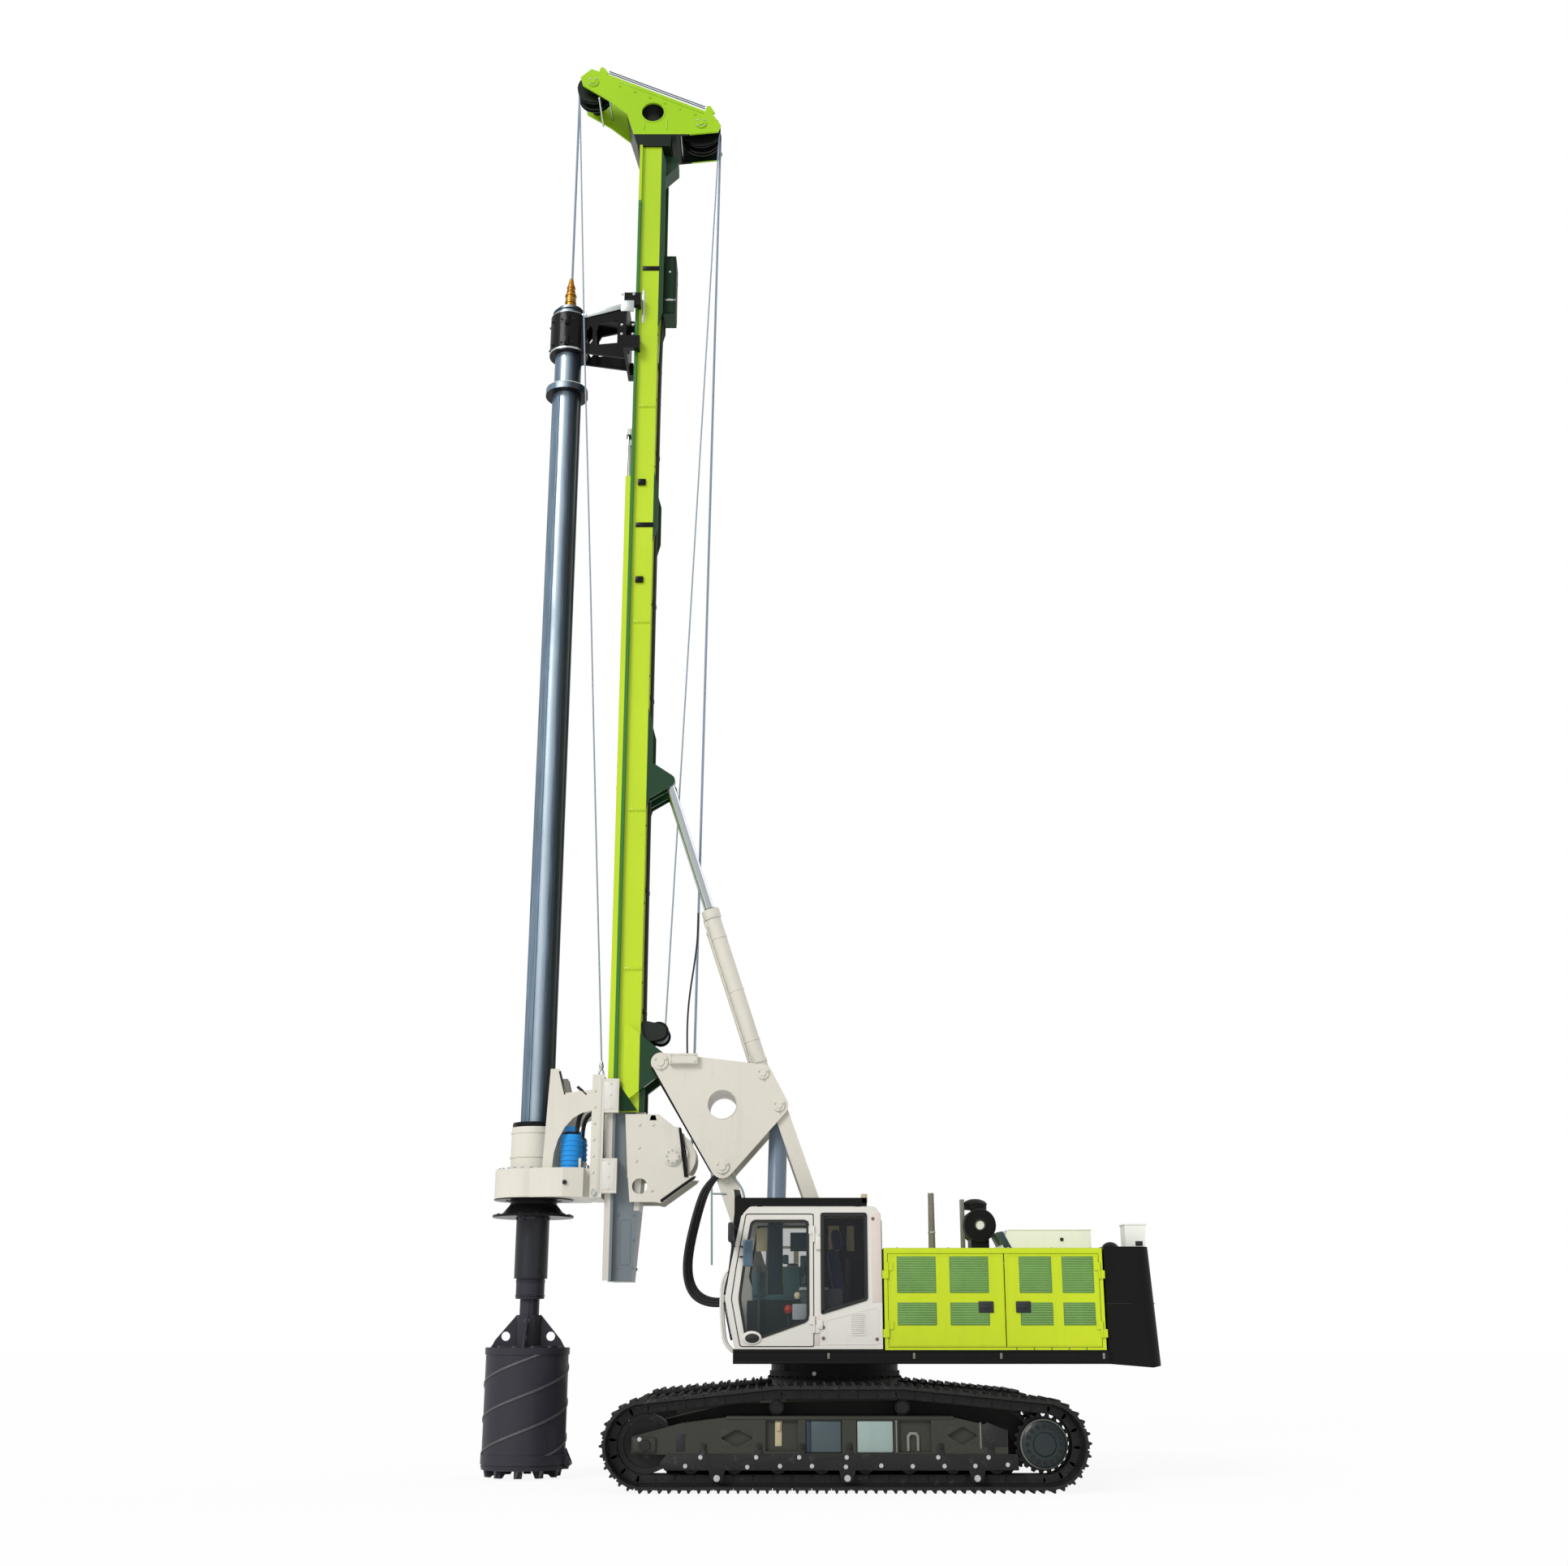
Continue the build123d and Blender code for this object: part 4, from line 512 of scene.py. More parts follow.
def lathe(profile, sides=32):
    """Turned part: an outline of (radius, height) spun about Z."""
    part = bmesh.new()
    ring = [part.verts.new((radius, 0, height)) for radius, height in profile]
    edges = [part.edges.new(pair) for pair in zip(ring, ring[1:])]
    bmesh.ops.spin(part, geom=ring + edges, cent=(0, 0, 0), axis=(0, 0, 1), angle=2 * math.pi,
        steps=sides, use_merge=True)
    bmesh.ops.remove_doubles(part, verts=part.verts, dist=0.00001)
    bmesh.ops.recalc_face_normals(part, faces=part.faces)
    return part


def cap(radius, height, edge=0.005):
    """Profile of a flat cap with a chamfered edge."""
    return [(0, 0), (radius, 0), (radius, height - edge), (radius - edge, height), (0, height)]


def hoop(inner, outer, height):
    """Profile of a band round an axis."""
    edge = min(0.003, height / 3)
    return [(inner, 0), (outer - edge, 0), (outer, edge), (outer, height - edge), (outer - edge, height),
        (inner, height), (inner, 0)]


def stamp(bm, part, places):
    """Copies of one part, one at each matrix."""
    mould = bpy.data.meshes.new("mould")
    part.to_mesh(mould)
    part.free()
    for place in places:
        moved = mould.copy()
        moved.transform(place)
        if place.determinant() < 0:
            moved.flip_normals()
        bm.from_mesh(moved)
        bpy.data.meshes.remove(moved)
    bpy.data.meshes.remove(mould)


def bolt(radius, height, washer_sides=10):
    """Hexagon head on a washer."""
    part = bmesh.new()
    rod(part, (0, 0, 0), (0, 0, height * 0.3), radius * 1.5, sides=washer_sides)
    rod(part, (0, 0, height * 0.3), (0, 0, height), radius, sides=6)
    return part


def settled(name, mesh, body, material, smooth=35):
    """Put a mesh in the scene with its finish, slot and body; edges sharper than the angle stay sharp."""
    mesh.materials.clear()
    mesh.materials.append(material)
    piece = bpy.data.objects.new(name, mesh)
    bpy.context.scene.collection.objects.link(piece)
    mesh.shade_smooth()
    mesh.set_sharp_from_angle(angle=math.radians(smooth))
    if body:
        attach(piece, body)
    return piece


def finished(name, bm, body, material, smooth=35):
    """A piece from a bmesh that was modelled from the slewing axis, riding on a body."""
    bmesh.ops.translate(bm, verts=bm.verts, vec=(slew_x, 0, 0))
    mesh = bpy.data.meshes.new(name)
    bm.to_mesh(mesh)
    bm.free()
    return settled(name, mesh, body, material, smooth)


def sided(table, twin):
    """Each row with its side: 1 on the left, and -1 on the right too for twins."""
    return [(side, row) for row in table for side in (both if twin else (1,))]


def over(side, place):
    """A point or direction, moved to the side of its twin."""
    return place[0], side * place[1], place[2]


def blocks(name, body, material, table, rounding=0.006, twin=False):
    """Rounded blocks from rows of ((x0, x1), (y0, y1), (z0, z1))."""
    bm = bmesh.new()
    for side, (x, y, z) in sided(table, twin):
        slab(bm, x, [side * edge for edge in y], z, rounding)
    return finished(name, bm, body, material)


def sheets(name, body, material, make, table, twin):
    """Flat parts from rows that end with their two values of y."""
    bm = bmesh.new()
    for side, (*shape, y0, y1) in sided(table, twin):
        low, high = sorted((side * y0, side * y1))
        stamp(bm, make(*shape, high - low), [Matrix.Translation((0, low, 0))])
    return finished(name, bm, body, material)


def plates(name, body, material, table, rounding=0.002, twin=False):
    """Plates from rows of (outline, y0, y1)."""
    return sheets(name, body, material, lambda *shape: plate(*shape, rounding), table, twin)


def seals(name, body, material, table, twin=False):
    """Window or lid seals from rows of (outline, corner, width, y0, y1)."""
    return sheets(name, body, material, seal, table, twin)


def turned(name, body, material, table, twin=False, sides=32):
    """Turned parts from rows of (profile, foot, direction)."""
    bm = bmesh.new()
    for side, (profile, foot, way) in sided(table, twin):
        stamp(bm, lathe(profile, sides), [facing(over(side, foot), over(side, way))])
    return finished(name, bm, body, material)


def bars(name, body, material, table, twin=False, sides=16):
    """Round bars from rows of (start, end, radius)."""
    bm = bmesh.new()
    for side, (start, end, radius) in sided(table, twin):
        rod(bm, over(side, start), over(side, end), radius, sides=sides)
    return finished(name, bm, body, material)


def bolts(name, body, material, radius, height, table, twin=False):
    """Hexagon bolts from rows of (point, direction)."""
    bm = bmesh.new()
    places = [facing(over(side, point), over(side, way)) for side, (point, way) in sided(table, twin)]
    stamp(bm, bolt(radius, height), places)
    return finished(name, bm, body, material)


def round_row(count, radius, centre, way, first=0.0):
    """Places round a centre, square to a direction, for bolts."""
    turn = facing(centre, way)
    angles = [2 * math.pi * (i + first) / count for i in range(count)]
    return [(turn @ Vector((radius * math.cos(a), radius * math.sin(a), 0)), way) for a in angles]


def lines(name, routes, radius, body, material, order=3):
    """Hoses, ropes or bent rods of one radius, each along its own route."""
    curve = bpy.data.curves.new(name, "CURVE")
    curve.dimensions = "3D"
    curve.bevel_depth = radius
    curve.bevel_resolution = 3
    curve.resolution_u = 6
    curve.use_fill_caps = True
    for route in routes:
        spline = curve.splines.new("NURBS")
        spline.points.add(len(route) - 1)
        for point, (x, y, z) in zip(spline.points, route):
            point.co = (x + slew_x, y, z, 1)
        spline.order_u = order
        spline.use_endpoint_u = True
    drawn = bpy.data.objects.new(name + "_path", curve)
    mesh = bpy.data.meshes.new_from_object(drawn)
    bpy.data.objects.remove(drawn)
    bpy.data.curves.remove(curve)
    return settled(name, mesh, body, material, 60)


left, up, rear = (0, 1, 0), (0, 0, 1), (-1, 0, 0)

# Bodies that carry most of the pieces
tracks, house, mast, drive = "undercarriage", "house", "mast", "rotary_drive"
guide, bucket = "kelly_guide", "kelly_inner"


# Undercarriage

track_y = 1.8
frame_face = 2.04
guard_face = frame_face + 0.018
sprocket_x, wheel_z = -2.245, 0.49
belt = ((sprocket_x, wheel_z, 0.435), (2.14, wheel_z, 0.435), (0.7, 0.87, 0.205), (-0.7, 0.87, 0.205))
shoe_count = 54
shoe_plate = 0.022
pocket_floor, pocket_z = 1.994, (0.405, 0.735)


def belt_stations():
    """Point and angle of the track belt at the middle of each shoe."""
    runs = []
    for (x0, z0, r0), (x1, z1, r1) in zip(belt, belt[1:] + belt[:1]):
        angle = math.atan2(z1 - z0, x1 - x0) + math.asin((r0 - r1) / math.hypot(x1 - x0, z1 - z0))
        out = Vector((math.sin(angle), -math.cos(angle)))
        runs.append((Vector((x0, z0)) + r0 * out, Vector((x1, z1)) + r1 * out, angle))
    stretches = []
    for i, (start, end, angle) in enumerate(runs):
        x, z, radius = belt[(i + 1) % len(belt)]
        turn = (runs[(i + 1) % len(runs)][2] - angle) % (2 * math.pi)
        stretches += [((end - start).length, start, angle, 0), (turn * radius, Vector((x, z)), angle, radius)]
    pitch = sum(stretch[0] for stretch in stretches) / shoe_count
    stations = []
    along = pitch / 2
    for length, place, angle, radius in stretches:
        while along < length:
            here = angle + (along / radius if radius else 0)
            if radius:
                point = place + radius * Vector((math.sin(here), -math.cos(here)))
            else:
                point = place + along * Vector((math.cos(here), math.sin(here)))
            stations.append((point, here))
            along += pitch
        along -= length
    return stations


def on_belt(station, y, out):
    """Matrix on the belt: X along it and Z outwards."""
    (x, z), angle = station
    cos, sin = math.cos(angle), math.sin(angle)
    return Matrix(((cos, 0, sin, x + out * sin), (0, -1, 0, y), (sin, 0, -cos, z - out * cos), (0, 0, 0, 1)))


def track_dressing():
    """Bolts on every shoe, and link plates with their pins down both sides of the chain."""
    stations = belt_stations()
    bm = bmesh.new()
    rows = [side * track_y + offset for side in both for offset in (-0.17, -0.06, 0.06, 0.17)]
    stamp(bm, bolt(0.014, 0.018, 8), [on_belt(station, y, shoe_plate) for station in stations for y in rows])
    finished("shoe_bolts", bm, tracks, roller_steel)
    link = plate([(-0.1, -0.03), (0.1, -0.03), (0.112, -0.07), (0.09, -0.112),
        (-0.09, -0.112), (-0.112, -0.07)], 0.012)
    for x in (-0.055, 0.055):
        rod(link, (x, -0.005, -0.07), (x, 0.017, -0.07), 0.022, sides=10)
    bm = bmesh.new()
    rows = [side * track_y + offset for side in both for offset in (0.132, -0.12)]
    stamp(bm, link, [on_belt(station, y, 0) for station in stations for y in rows])
    finished("chain_links", bm, tracks, roller_steel)
    bm = bmesh.new()
    ends = [side * track_y + offset for side in both for offset in (0.394, -0.394)]
    edge = bmesh.new()
    slab(edge, (-0.085, 0.085), (-0.005, 0.005), (-0.008, 0.018), 0.003)
    stamp(bm, edge, [on_belt(station, y, 0) for station in stations for y in ends])
    finished("shoe_end_edges", bm, tracks, worn_edge)


track_dressing()

roller_row = [-1.72 + 0.48 * i for i in range(8)]
roller_z = 0.275
turned("roller_caps", tracks, roller_steel, [(cap(0.062, 0.03, 0.01), (x, 1.97, roller_z), left) for x in roller_row]
    + [(cap(0.07, 0.02), (x, 1.885, 0.87), left) for x in (-0.7, 0.7)], twin=True, sides=20)
guard_lugs = (-1.494, -0.077, 1.35)
guard_tabs = (-1.65, -1.1, -0.1, 0.42, 0.89, 1.5)


def guard_outline():
    """Roller guard in side view: three lugs hang down, six tabs reach up between the pockets."""
    low = [(-1.95, 0.225)]
    for x in guard_lugs:
        low += [(x - 0.09, 0.225), (x - 0.06, 0.1), (x + 0.06, 0.1), (x + 0.09, 0.225)]
    low += [(1.92, 0.225), (1.98, 0.3), (1.9, 0.392)]
    high = []
    for x in reversed(guard_tabs):
        high += [(x + 0.035, 0.392), (x + 0.03, 0.5), (x - 0.03, 0.5), (x - 0.035, 0.392)]
    return low + high + [(-1.95, 0.392)]


plates("roller_guards", tracks, track_steel, [(guard_outline(), frame_face, guard_face)], 0.003, True)
guard_bolts = ((1.695, 0.27), (1.017, 0.26), (0.66, 0.27), (0.311, 0.27), (-0.06, 0.262), (-0.446, 0.275),
    (-0.79, 0.268), (-1.137, 0.27), (-1.473, 0.272), (-1.828, 0.284))
bolts("guard_bolts", tracks, bright, 0.016, 0.02, [((x, guard_face, z), left) for x, z in guard_bolts]
    + [((x + 0.03, guard_face, 0.36), left) for x in guard_tabs] + [((2.2, 2.07, 0.545), left),
    ((0.261, 0.748, 1.2), left)], twin=True)
bolts("lug_bolts", tracks, bright, 0.024, 0.026, [((x, 2.058, 0.145), left) for x in guard_lugs], True)
bolts("tab_bolts", tracks, roller_steel, 0.014, 0.018, [((x, guard_face, 0.465), left) for x in guard_tabs], True)
for tone, paint_used, x, outer, rounding in (("pale", plate_pale, (-0.583, -0.187), 2.028, 0.012),
    ("grey", plate_grey, (-0.013, 0.32), 2.028, 0.012), ("blue", barrel_dark, (0.322, 0.374), 2.026, 0.006)):
    blocks(f"{tone}_frame_plates", tracks, paint_used, [(x, (pocket_floor, outer), pocket_z)], rounding, True)
arch = [(-0.87, 0.42), (-0.87, 0.58), (-0.84, 0.617), (-0.765, 0.617), (-0.734, 0.58), (-0.734, 0.42)]
arch += [(-0.762, 0.42), (-0.762, 0.565), (-0.78, 0.588), (-0.825, 0.588), (-0.842, 0.565), (-0.842, 0.42)]
plates("pocket_arches", tracks, grey_post, [(arch, pocket_floor, 2.02)], 0.002, True)
blocks("pocket_lamps", tracks, tan_paint, [((0.655, 0.7), (pocket_floor, 2.03), (0.63, 0.72)),
    ((0.64, 0.715), (pocket_floor, 2.006), (0.47, 0.735))], 0.006, True)


def corner_fillers(x0, x1, z0, z1):
    """Four triangles that leave a diamond open in a pocket of the frame."""
    xm, zm = (x0 + x1) / 2, (z0 + z1) / 2
    corners = []
    for x in (x0, x1):
        for z in (z0, z1):
            corners.append(([(x, z), (xm + (x - xm) * 0.1, z), (x, zm + (z - zm) * 0.1)], pocket_floor, frame_face))
    return corners


plates("diamond_pockets", tracks, olive, corner_fillers(0.965, 1.3, 0.47, 0.64)
    + corner_fillers(-1.5, -1.19, 0.494, 0.67), 0.001, True)
blocks("frame_edges", tracks, olive, [((-1.25, 1.25), (1.555, 2.052), (0.768, 0.782)),
    ((-1.25, 1.25), (2.036, 2.05), (0.75, 0.77))], 0.004, True)
plates("charcoal_frame_panels", tracks, roller_steel, [([(-1.83, 0.47), (-1.57, 0.47), (-1.57, 0.69), (-1.62, 0.72),
    (-1.83, 0.64)], frame_face, 2.05)], 0.002, True)
blocks("tension_slots", tracks, seal_black, [((1.7, 1.8), (2.036, 2.044), (0.42, 0.6))], 0.003, True)
blocks("panel_edges", tracks, grey_post, [((-1.55, -1.535), (2.036, 2.047), (0.45, 0.72)),
    ((-0.625, -0.612), (2.036, 2.046), (0.41, 0.74))], 0.002, True)
blocks("idler_bearings", tracks, olive, [((2.02, 2.28), (2.036, 2.07), (0.41, 0.562))], 0.014, True)
turned("idler_caps", tracks, roller_steel, [(cap(0.06, 0.03), (2.14, 2.07, 0.487), left)], True)
hub_profile = [(0, 0), (0.247, 0), (0.247, 0.05), (0.226, 0.064), (0.13, 0.068), (0.118, 0.088), (0, 0.09)]
turned("drive_hubs", tracks, hub_steel, [(hub_profile, (sprocket_x, 1.95, wheel_z), left)], True, 40)
turned("hub_seals", tracks, grey_post, [(hoop(0.246, 0.262, 0.018), (sprocket_x, 1.951, wheel_z), left)], True, 40)
bolts("hub_bolts", tracks, roller_steel, 0.016, 0.02, round_row(16, 0.19, (sprocket_x, 2.0135, wheel_z), left), True)
turned("ring_lip", tracks, track_steel, [(hoop(0.76, 0.815, 0.022), (0, 0, 1.128), up)], sides=64)
bolts("ring_bolts", tracks, roller_steel, 0.012, 0.02, round_row(40, 0.8, (0, 0, 1.149), up))
lines("travel_hoses", [[(-0.85, side * y, 0.9), (-1.05, side * y, 0.98), (-1.3, side * (y + 0.3), 0.9),
    (-1.5, side * 1.5, 0.62), (-1.9, side * 1.53, 0.56), (-2.15, side * 1.57, 0.52)] for side in both
    for y in (0.35, 0.43)], 0.02, tracks, hose_black)
turned("travel_motors", tracks, roller_steel, [([(0, 0), (0.13, 0), (0.13, 0.05), (0.1, 0.08), (0.1, 0.16),
    (0, 0.16)], (sprocket_x, 1.56, wheel_z), (0, -1, 0))], True)

# Near-black plates inside each track loop, put where the shadow between frame and track falls: painted shadow.
plates("inner_shadow_plates", tracks, painted_shadow_steel, [([(-2.1, 0.4), (-1.9, 0.14), (1.9, 0.14), (2.05, 0.35), (2.0, 0.72),
    (1.2, 0.9), (-1.0, 0.94), (-1.85, 0.86), (-2.1, 0.68)], 1.6, 1.612)], 0.0, True)


# Deck, hood and weight

side_face = 1.5
hood_top = 2.6
blocks("deck_rails", house, deck_black, [((-3.1, 1.2), (1.496, 1.51), (1.322, 1.346)),
    ((-3.1, 1.2), (1.496, 1.508), (1.45, 1.472))], 0.004, True)
deck_clips = (0.107, -0.869, -1.862, -3.033)
blocks("deck_clips", house, grey_post,
    [((x - 0.014, x + 0.014), (1.498, 1.514), (1.375, 1.44)) for x in deck_clips], 0.004, True)
turned("deck_lamps", house, lamp_glass, [(cap(0.05, 0.03), (1.2, y, 1.395), (1, 0, 0)) for y in (-1.25, -0.75)])
tread_rows = [-0.5 + 0.12 * i for i in range(13)]
blocks("deck_treads", house, track_steel, [((x, x + 0.03), (-0.36, -0.5), (1.468, 1.478)) for x in tread_rows]
    + [((x, x + 0.03), (0.47, 0.54), (1.468, 1.478)) for x in tread_rows], 0.003)

grille_rows = ((1.747, 1.988, 9), (2.104, 2.5, 15))
hood_doors = {"front": (((-1.134, -0.694), (-1.742, -1.302)), (-1.915, -0.6), -1.708),
    "rear": (((-2.472, -2.107), (-2.958, -2.603)), (-3.02, -1.95), -2.137)}


def door_dressing(door, hand, side):
    """Mesh panels with their ribs and bezels, the backing sheet and the latch of one engine door."""
    grilles, (back, front), latch_x = hood_doors[door]
    body = f"{door}_door_{hand}"
    near, far = side * (side_face + 0.001), side * (side_face + 0.006)
    mesh, ribs = bmesh.new(), bmesh.new()
    for x0, x1 in grilles:
        for z0, z1, count in grille_rows:
            slab(mesh, (x0 - 0.005, x1 + 0.005), (side * 1.485, far), (z0 - 0.005, z1 + 0.005), 0.004)
            pitch = (z1 - z0) / count
            for i in range(count):
                z = z0 + (i + 0.5) * pitch
                slab(ribs, (x0 + 0.006, x1 - 0.006), (near, far + side * 0.003), (z - 0.006, z + 0.003))
    finished(body + "_mesh", mesh, body, green_screen)
    finished(body + "_ribs", ribs, body, green_rib)
    latch = bmesh.new()
    slab(latch, (latch_x - 0.086, latch_x + 0.086), (side * 1.498, side * 1.516), (1.88, 2.006), 0.014)
    slab(latch, (latch_x - 0.05, latch_x + 0.05), (side * 1.51, side * 1.524), (1.925, 1.965), 0.006)
    finished(body + "_latch", latch, body, plastic)
    edges = bmesh.new()
    outline = [(back, 1.522), (front, 1.522), (front, 2.518), (back, 2.518)]
    lift = Matrix.Translation((0, min(side * 1.499, side * 1.503), 0))
    stamp(edges, seal(outline, 0.02, 0.008, 0.004), [lift])
    finished(body + "_pressing", edges, body, hood_lime)


for hand, side in (("left", 1), ("right", -1)):
    for door in hood_doors:
        door_dressing(door, hand, side)

blocks("hood_seams", house, leaf_green, [((-1.938, -1.928), (-1.49, 1.49), (2.597, 2.603)),
    ((-3.06, -0.56), (1.47, 1.476), (2.597, 2.603))], 0.001)
blocks("hood_feet", house, leaf_green, [((x, x + 0.012), (1.498, 1.504), (1.475, 1.5))
    for x in (-2.05, -2.25, -2.45, -2.65, -2.85)], 0.002, True)
bolts("hood_bolts", house, bright, 0.012, 0.014, [((x, y, hood_top), up)
    for x in (-0.7, -1.3, -1.85, -2.0, -2.5, -2.95) for y in (-1.4, -0.2, 1.4)])
blocks("roof_vent", house, hood_lime, [((-2.9 + 0.1 * i, -2.84 + 0.1 * i), (-1.1, -0.3), (hood_top, 2.612))
    for i in range(8)], 0.004)

# Fittings on the roof of the hood
filter_x, filter_z = -1.803, 2.93
turned("filter_bands", house, plastic, [(hoop(0.185, 0.198, 0.03), (filter_x, y, filter_z), left)
    for y in (-0.25, -0.11, 0.09, 0.23)])
turned("filter_outlet", house, ivory, [([(0, 0), (0.058, 0), (0.058, 0.045), (0.05, 0.052), (0, 0.052)],
    (filter_x, 0.202, filter_z), left)])
turned("filter_rim", house, seal_black, [(hoop(0.06, 0.075, 0.02), (filter_x, 0.252, filter_z), left)])
turned("rain_cap", house, deck_black, [([(0, 0), (0.15, 0), (0.15, 0.02), (0.12, 0.05), (0.06, 0.072), (0, 0.078)],
    (-1.773, 0, 3.185), up)])
blocks("filter_post", house, grey_post, [((-1.637, -1.584), (-0.044, 0.044), (hood_top, 3.255)),
    ((-1.66, -1.56), (-0.07, 0.07), (2.598, 2.612))], 0.006)
bolts("filter_foot_bolts", house, bright, 0.01, 0.012, [((-1.9, y, 2.7), rear) for y in (-0.15, 0.15)])
scoop = [(-1.918, 2.805), (-1.996, 2.82), (-2.112, 2.605), (-2.018, 2.605)]
plates("cover_scoop", house, scoop_slate, [(scoop, 0.262, 0.942)], 0.006)
turned("cover_latch", house, plastic, [(cap(0.022, 0.018), (-2.7, 0.925, 2.725), left)])
blocks("cover_edges", house, ivory, [((-3.06, -2.06), (0.262, 0.938), (2.83, 2.842)),
    ((-3.06, -2.02), (0.26, 0.94), (hood_top, 2.612))], 0.004)
blocks("rear_box_recess", house, seal_black, [((-3.6, -3.515), (1.246, 1.254), (2.635, 2.69))], 0.006)
blocks("rear_box_lid", house, ivory, [((-3.66, -3.39), (0.94, 1.26), (2.872, 2.893))], 0.008)
turned("dome_base", house, deck_black, [(hoop(0.1, 0.145, 0.02), (-3.44, 0, 2.62), up)])
pipe_profile = [(0, 0), (0.062, 0), (0.062, 0.02), (0.043, 0.03), (0.039, 0.42),
    (0.037, 0.71), (0.03, 0.71), (0, 0.69)]
turned("exhaust_skin", house, pipe_brown, [(pipe_profile, (-1.2, 0.3, hood_top), up)])
turned("exhaust_clamp", house, bright, [(hoop(0.036, 0.047, 0.02), (-1.2, 0.3, 2.83), up)])

# Counterweight
blocks("weight_joint", house, seal_black, [((-3.4, -3.1), (1.446, 1.451), (1.98, 1.986)),
    ((-3.7, -3.69), (-1.25, 1.25), (1.98, 1.99))], 0.001, True)
blocks("rear_lamps", house, knob_red, [((-3.716, -3.695), (y, y + 0.2), (1.42, 1.5)) for y in (-1.15, 0.95)], 0.01)
blocks("rear_plates", house, weight_black, [((-3.704, -3.68), (-0.45, 0.45), (1.55, 1.85)),
    ((-3.68, -3.65), (-1.1, 1.1), (2.2, 2.5))], 0.02)
bolts("weight_bolts", house, roller_steel, 0.024, 0.016,
    [((-3.702, y, z), rear) for y in (-0.38, 0.38) for z in (1.6, 1.8)])

# Right housing: lids, steps and the rail round it
housing_top = 2.45
blocks("housing_lids", house, hood_lime, [((-0.5, 0.1), (-1.46, -0.6), (housing_top, 2.468)),
    ((0.14, 0.82), (-1.46, -0.6), (housing_top, 2.468))], 0.008)
turned("filler_cap", house, plastic, [(cap(0.075, 0.06, 0.012), (0.5, -1.25, 2.466), up)])
blocks("housing_steps", house, deck_black, [((1.1, 1.3), (-1.4, -0.95), (z, z + 0.025)) for z in (1.62, 1.88)]
    + [((1.1, 1.18), (-1.42, -0.93), (1.47, 1.5))], 0.006)
housing_panels = [([(x0, 1.56), (x1, 1.56), (x1, 2.36), (x0, 2.36)], 0.05, 0.012, -1.506, -1.498)
    for x0, x1 in ((-0.48, 0.06), (0.1, 0.8))]
seals("housing_pressings", house, hood_lime, housing_panels)
blocks("housing_latches", house, plastic, [((x - 0.06, x + 0.06), (-1.512, -1.498), (1.92, 2.0))
    for x in (-0.35, 0.25)], 0.01)
rail_y = -1.45
lines("housing_rail", [[(x, rail_y, 2.44), (x, rail_y, 2.75), (x, rail_y, 2.93), (x, rail_y, 3.0)]
    for x in (-0.45, 0.25)] + [[(-0.5, rail_y, 3.0), (0.3, rail_y, 3.0), (0.86, rail_y, 3.0), (0.96, rail_y, 2.98),
    (0.98, rail_y, 2.85), (1.02, rail_y, 2.3), (1.14, rail_y, 2.0), (1.16, rail_y, 1.6), (1.12, rail_y, 1.5)],
    [(-0.5, rail_y, 2.74), (0.2, rail_y, 2.74), (0.6, rail_y, 2.74), (0.99, rail_y, 2.74)]], 0.02, house, cab_grey, 2)
turned("engine_pulleys", house, roller_steel, [(cap(0.3, 0.05), (-2.5, 0, 1.95), rear),
    (cap(0.16, 0.08), (-2.5, 0.22, 2.3), rear)])


# Cab

door_window = [(0.325, 1.785), (0.905, 1.585), (1.062, 1.585), (1.145, 2.033), (1.095, 2.4),
    (1.003, 2.92), (0.325, 2.92)]
rear_window = [(0.192, 1.856), (0.192, 3.0), (-0.352, 3.0), (-0.352, 2.018)]
right_window = [(-0.352, 2.018), (0.96, 2.018), (1.052, 2.3), (0.95, 2.917), (-0.352, 2.917)]
seals("door_window_seal", "cab_door", seal_black, [(door_window, 0.06, 0.032, 1.472, 1.508)])
seals("cab_window_seals", house, seal_black, [(rear_window, 0.03, 0.04, 1.472, 1.509),
    (right_window, 0.06, 0.035, 0.551, 0.59)])
cab_y = 1.03
across = Matrix.Rotation(-math.pi / 2, 4, "Z")
front_seals = bmesh.new()
for low, high in (((1.292, 2.1), (1.128, 2.9)), ((1.215, 1.6), (1.296, 1.98))):
    length = math.dist(low, high)
    lean = math.atan2(high[0] - low[0], high[1] - low[1])
    outline = [(-0.43, -0.02), (0.43, -0.02), (0.43, length + 0.02), (-0.43, length + 0.02)]
    turn = Matrix.Translation((low[0], cab_y, low[1])) @ Matrix.Rotation(lean, 4, "Y") @ across
    stamp(front_seals, seal(outline, 0.06, 0.035, 0.02), [turn])
back = Matrix.Translation((-0.525, cab_y, 0)) @ across
stamp(front_seals, seal([(-0.43, 2.28), (0.43, 2.28), (0.43, 2.92), (-0.43, 2.92)], 0.06, 0.035, 0.02), [back])
finished("front_and_rear_seals", front_seals, house, seal_black)

door_edge = [(0.268, 1.504), (1.124, 1.504), (1.229, 2.033), (1.174, 2.397), (1.064, 2.99), (0.268, 2.99)]
seals("doorway_seal", house, seal_black, [(door_edge, 0.03, 0.012, 1.493, 1.5015)])
oval = [(0.083 * math.cos(a), 0.052 * math.sin(a)) for a in [math.pi * i / 8 for i in range(16)]]
plates("door_handle_rim", "cab_door", cab_grey,
    [([(0.985 + x * 1.35, 1.606 + z * 1.45) for x, z in oval], 1.5, 1.513)], 0.003)
plates("door_handle", "cab_door", plastic, [([(0.98 + x, 1.6 + z) for x, z in oval], 1.508, 1.518),
    ([(0.94, 1.59), (1.02, 1.59), (1.02, 1.612), (0.94, 1.612)], 1.517, 1.528)], 0.003)
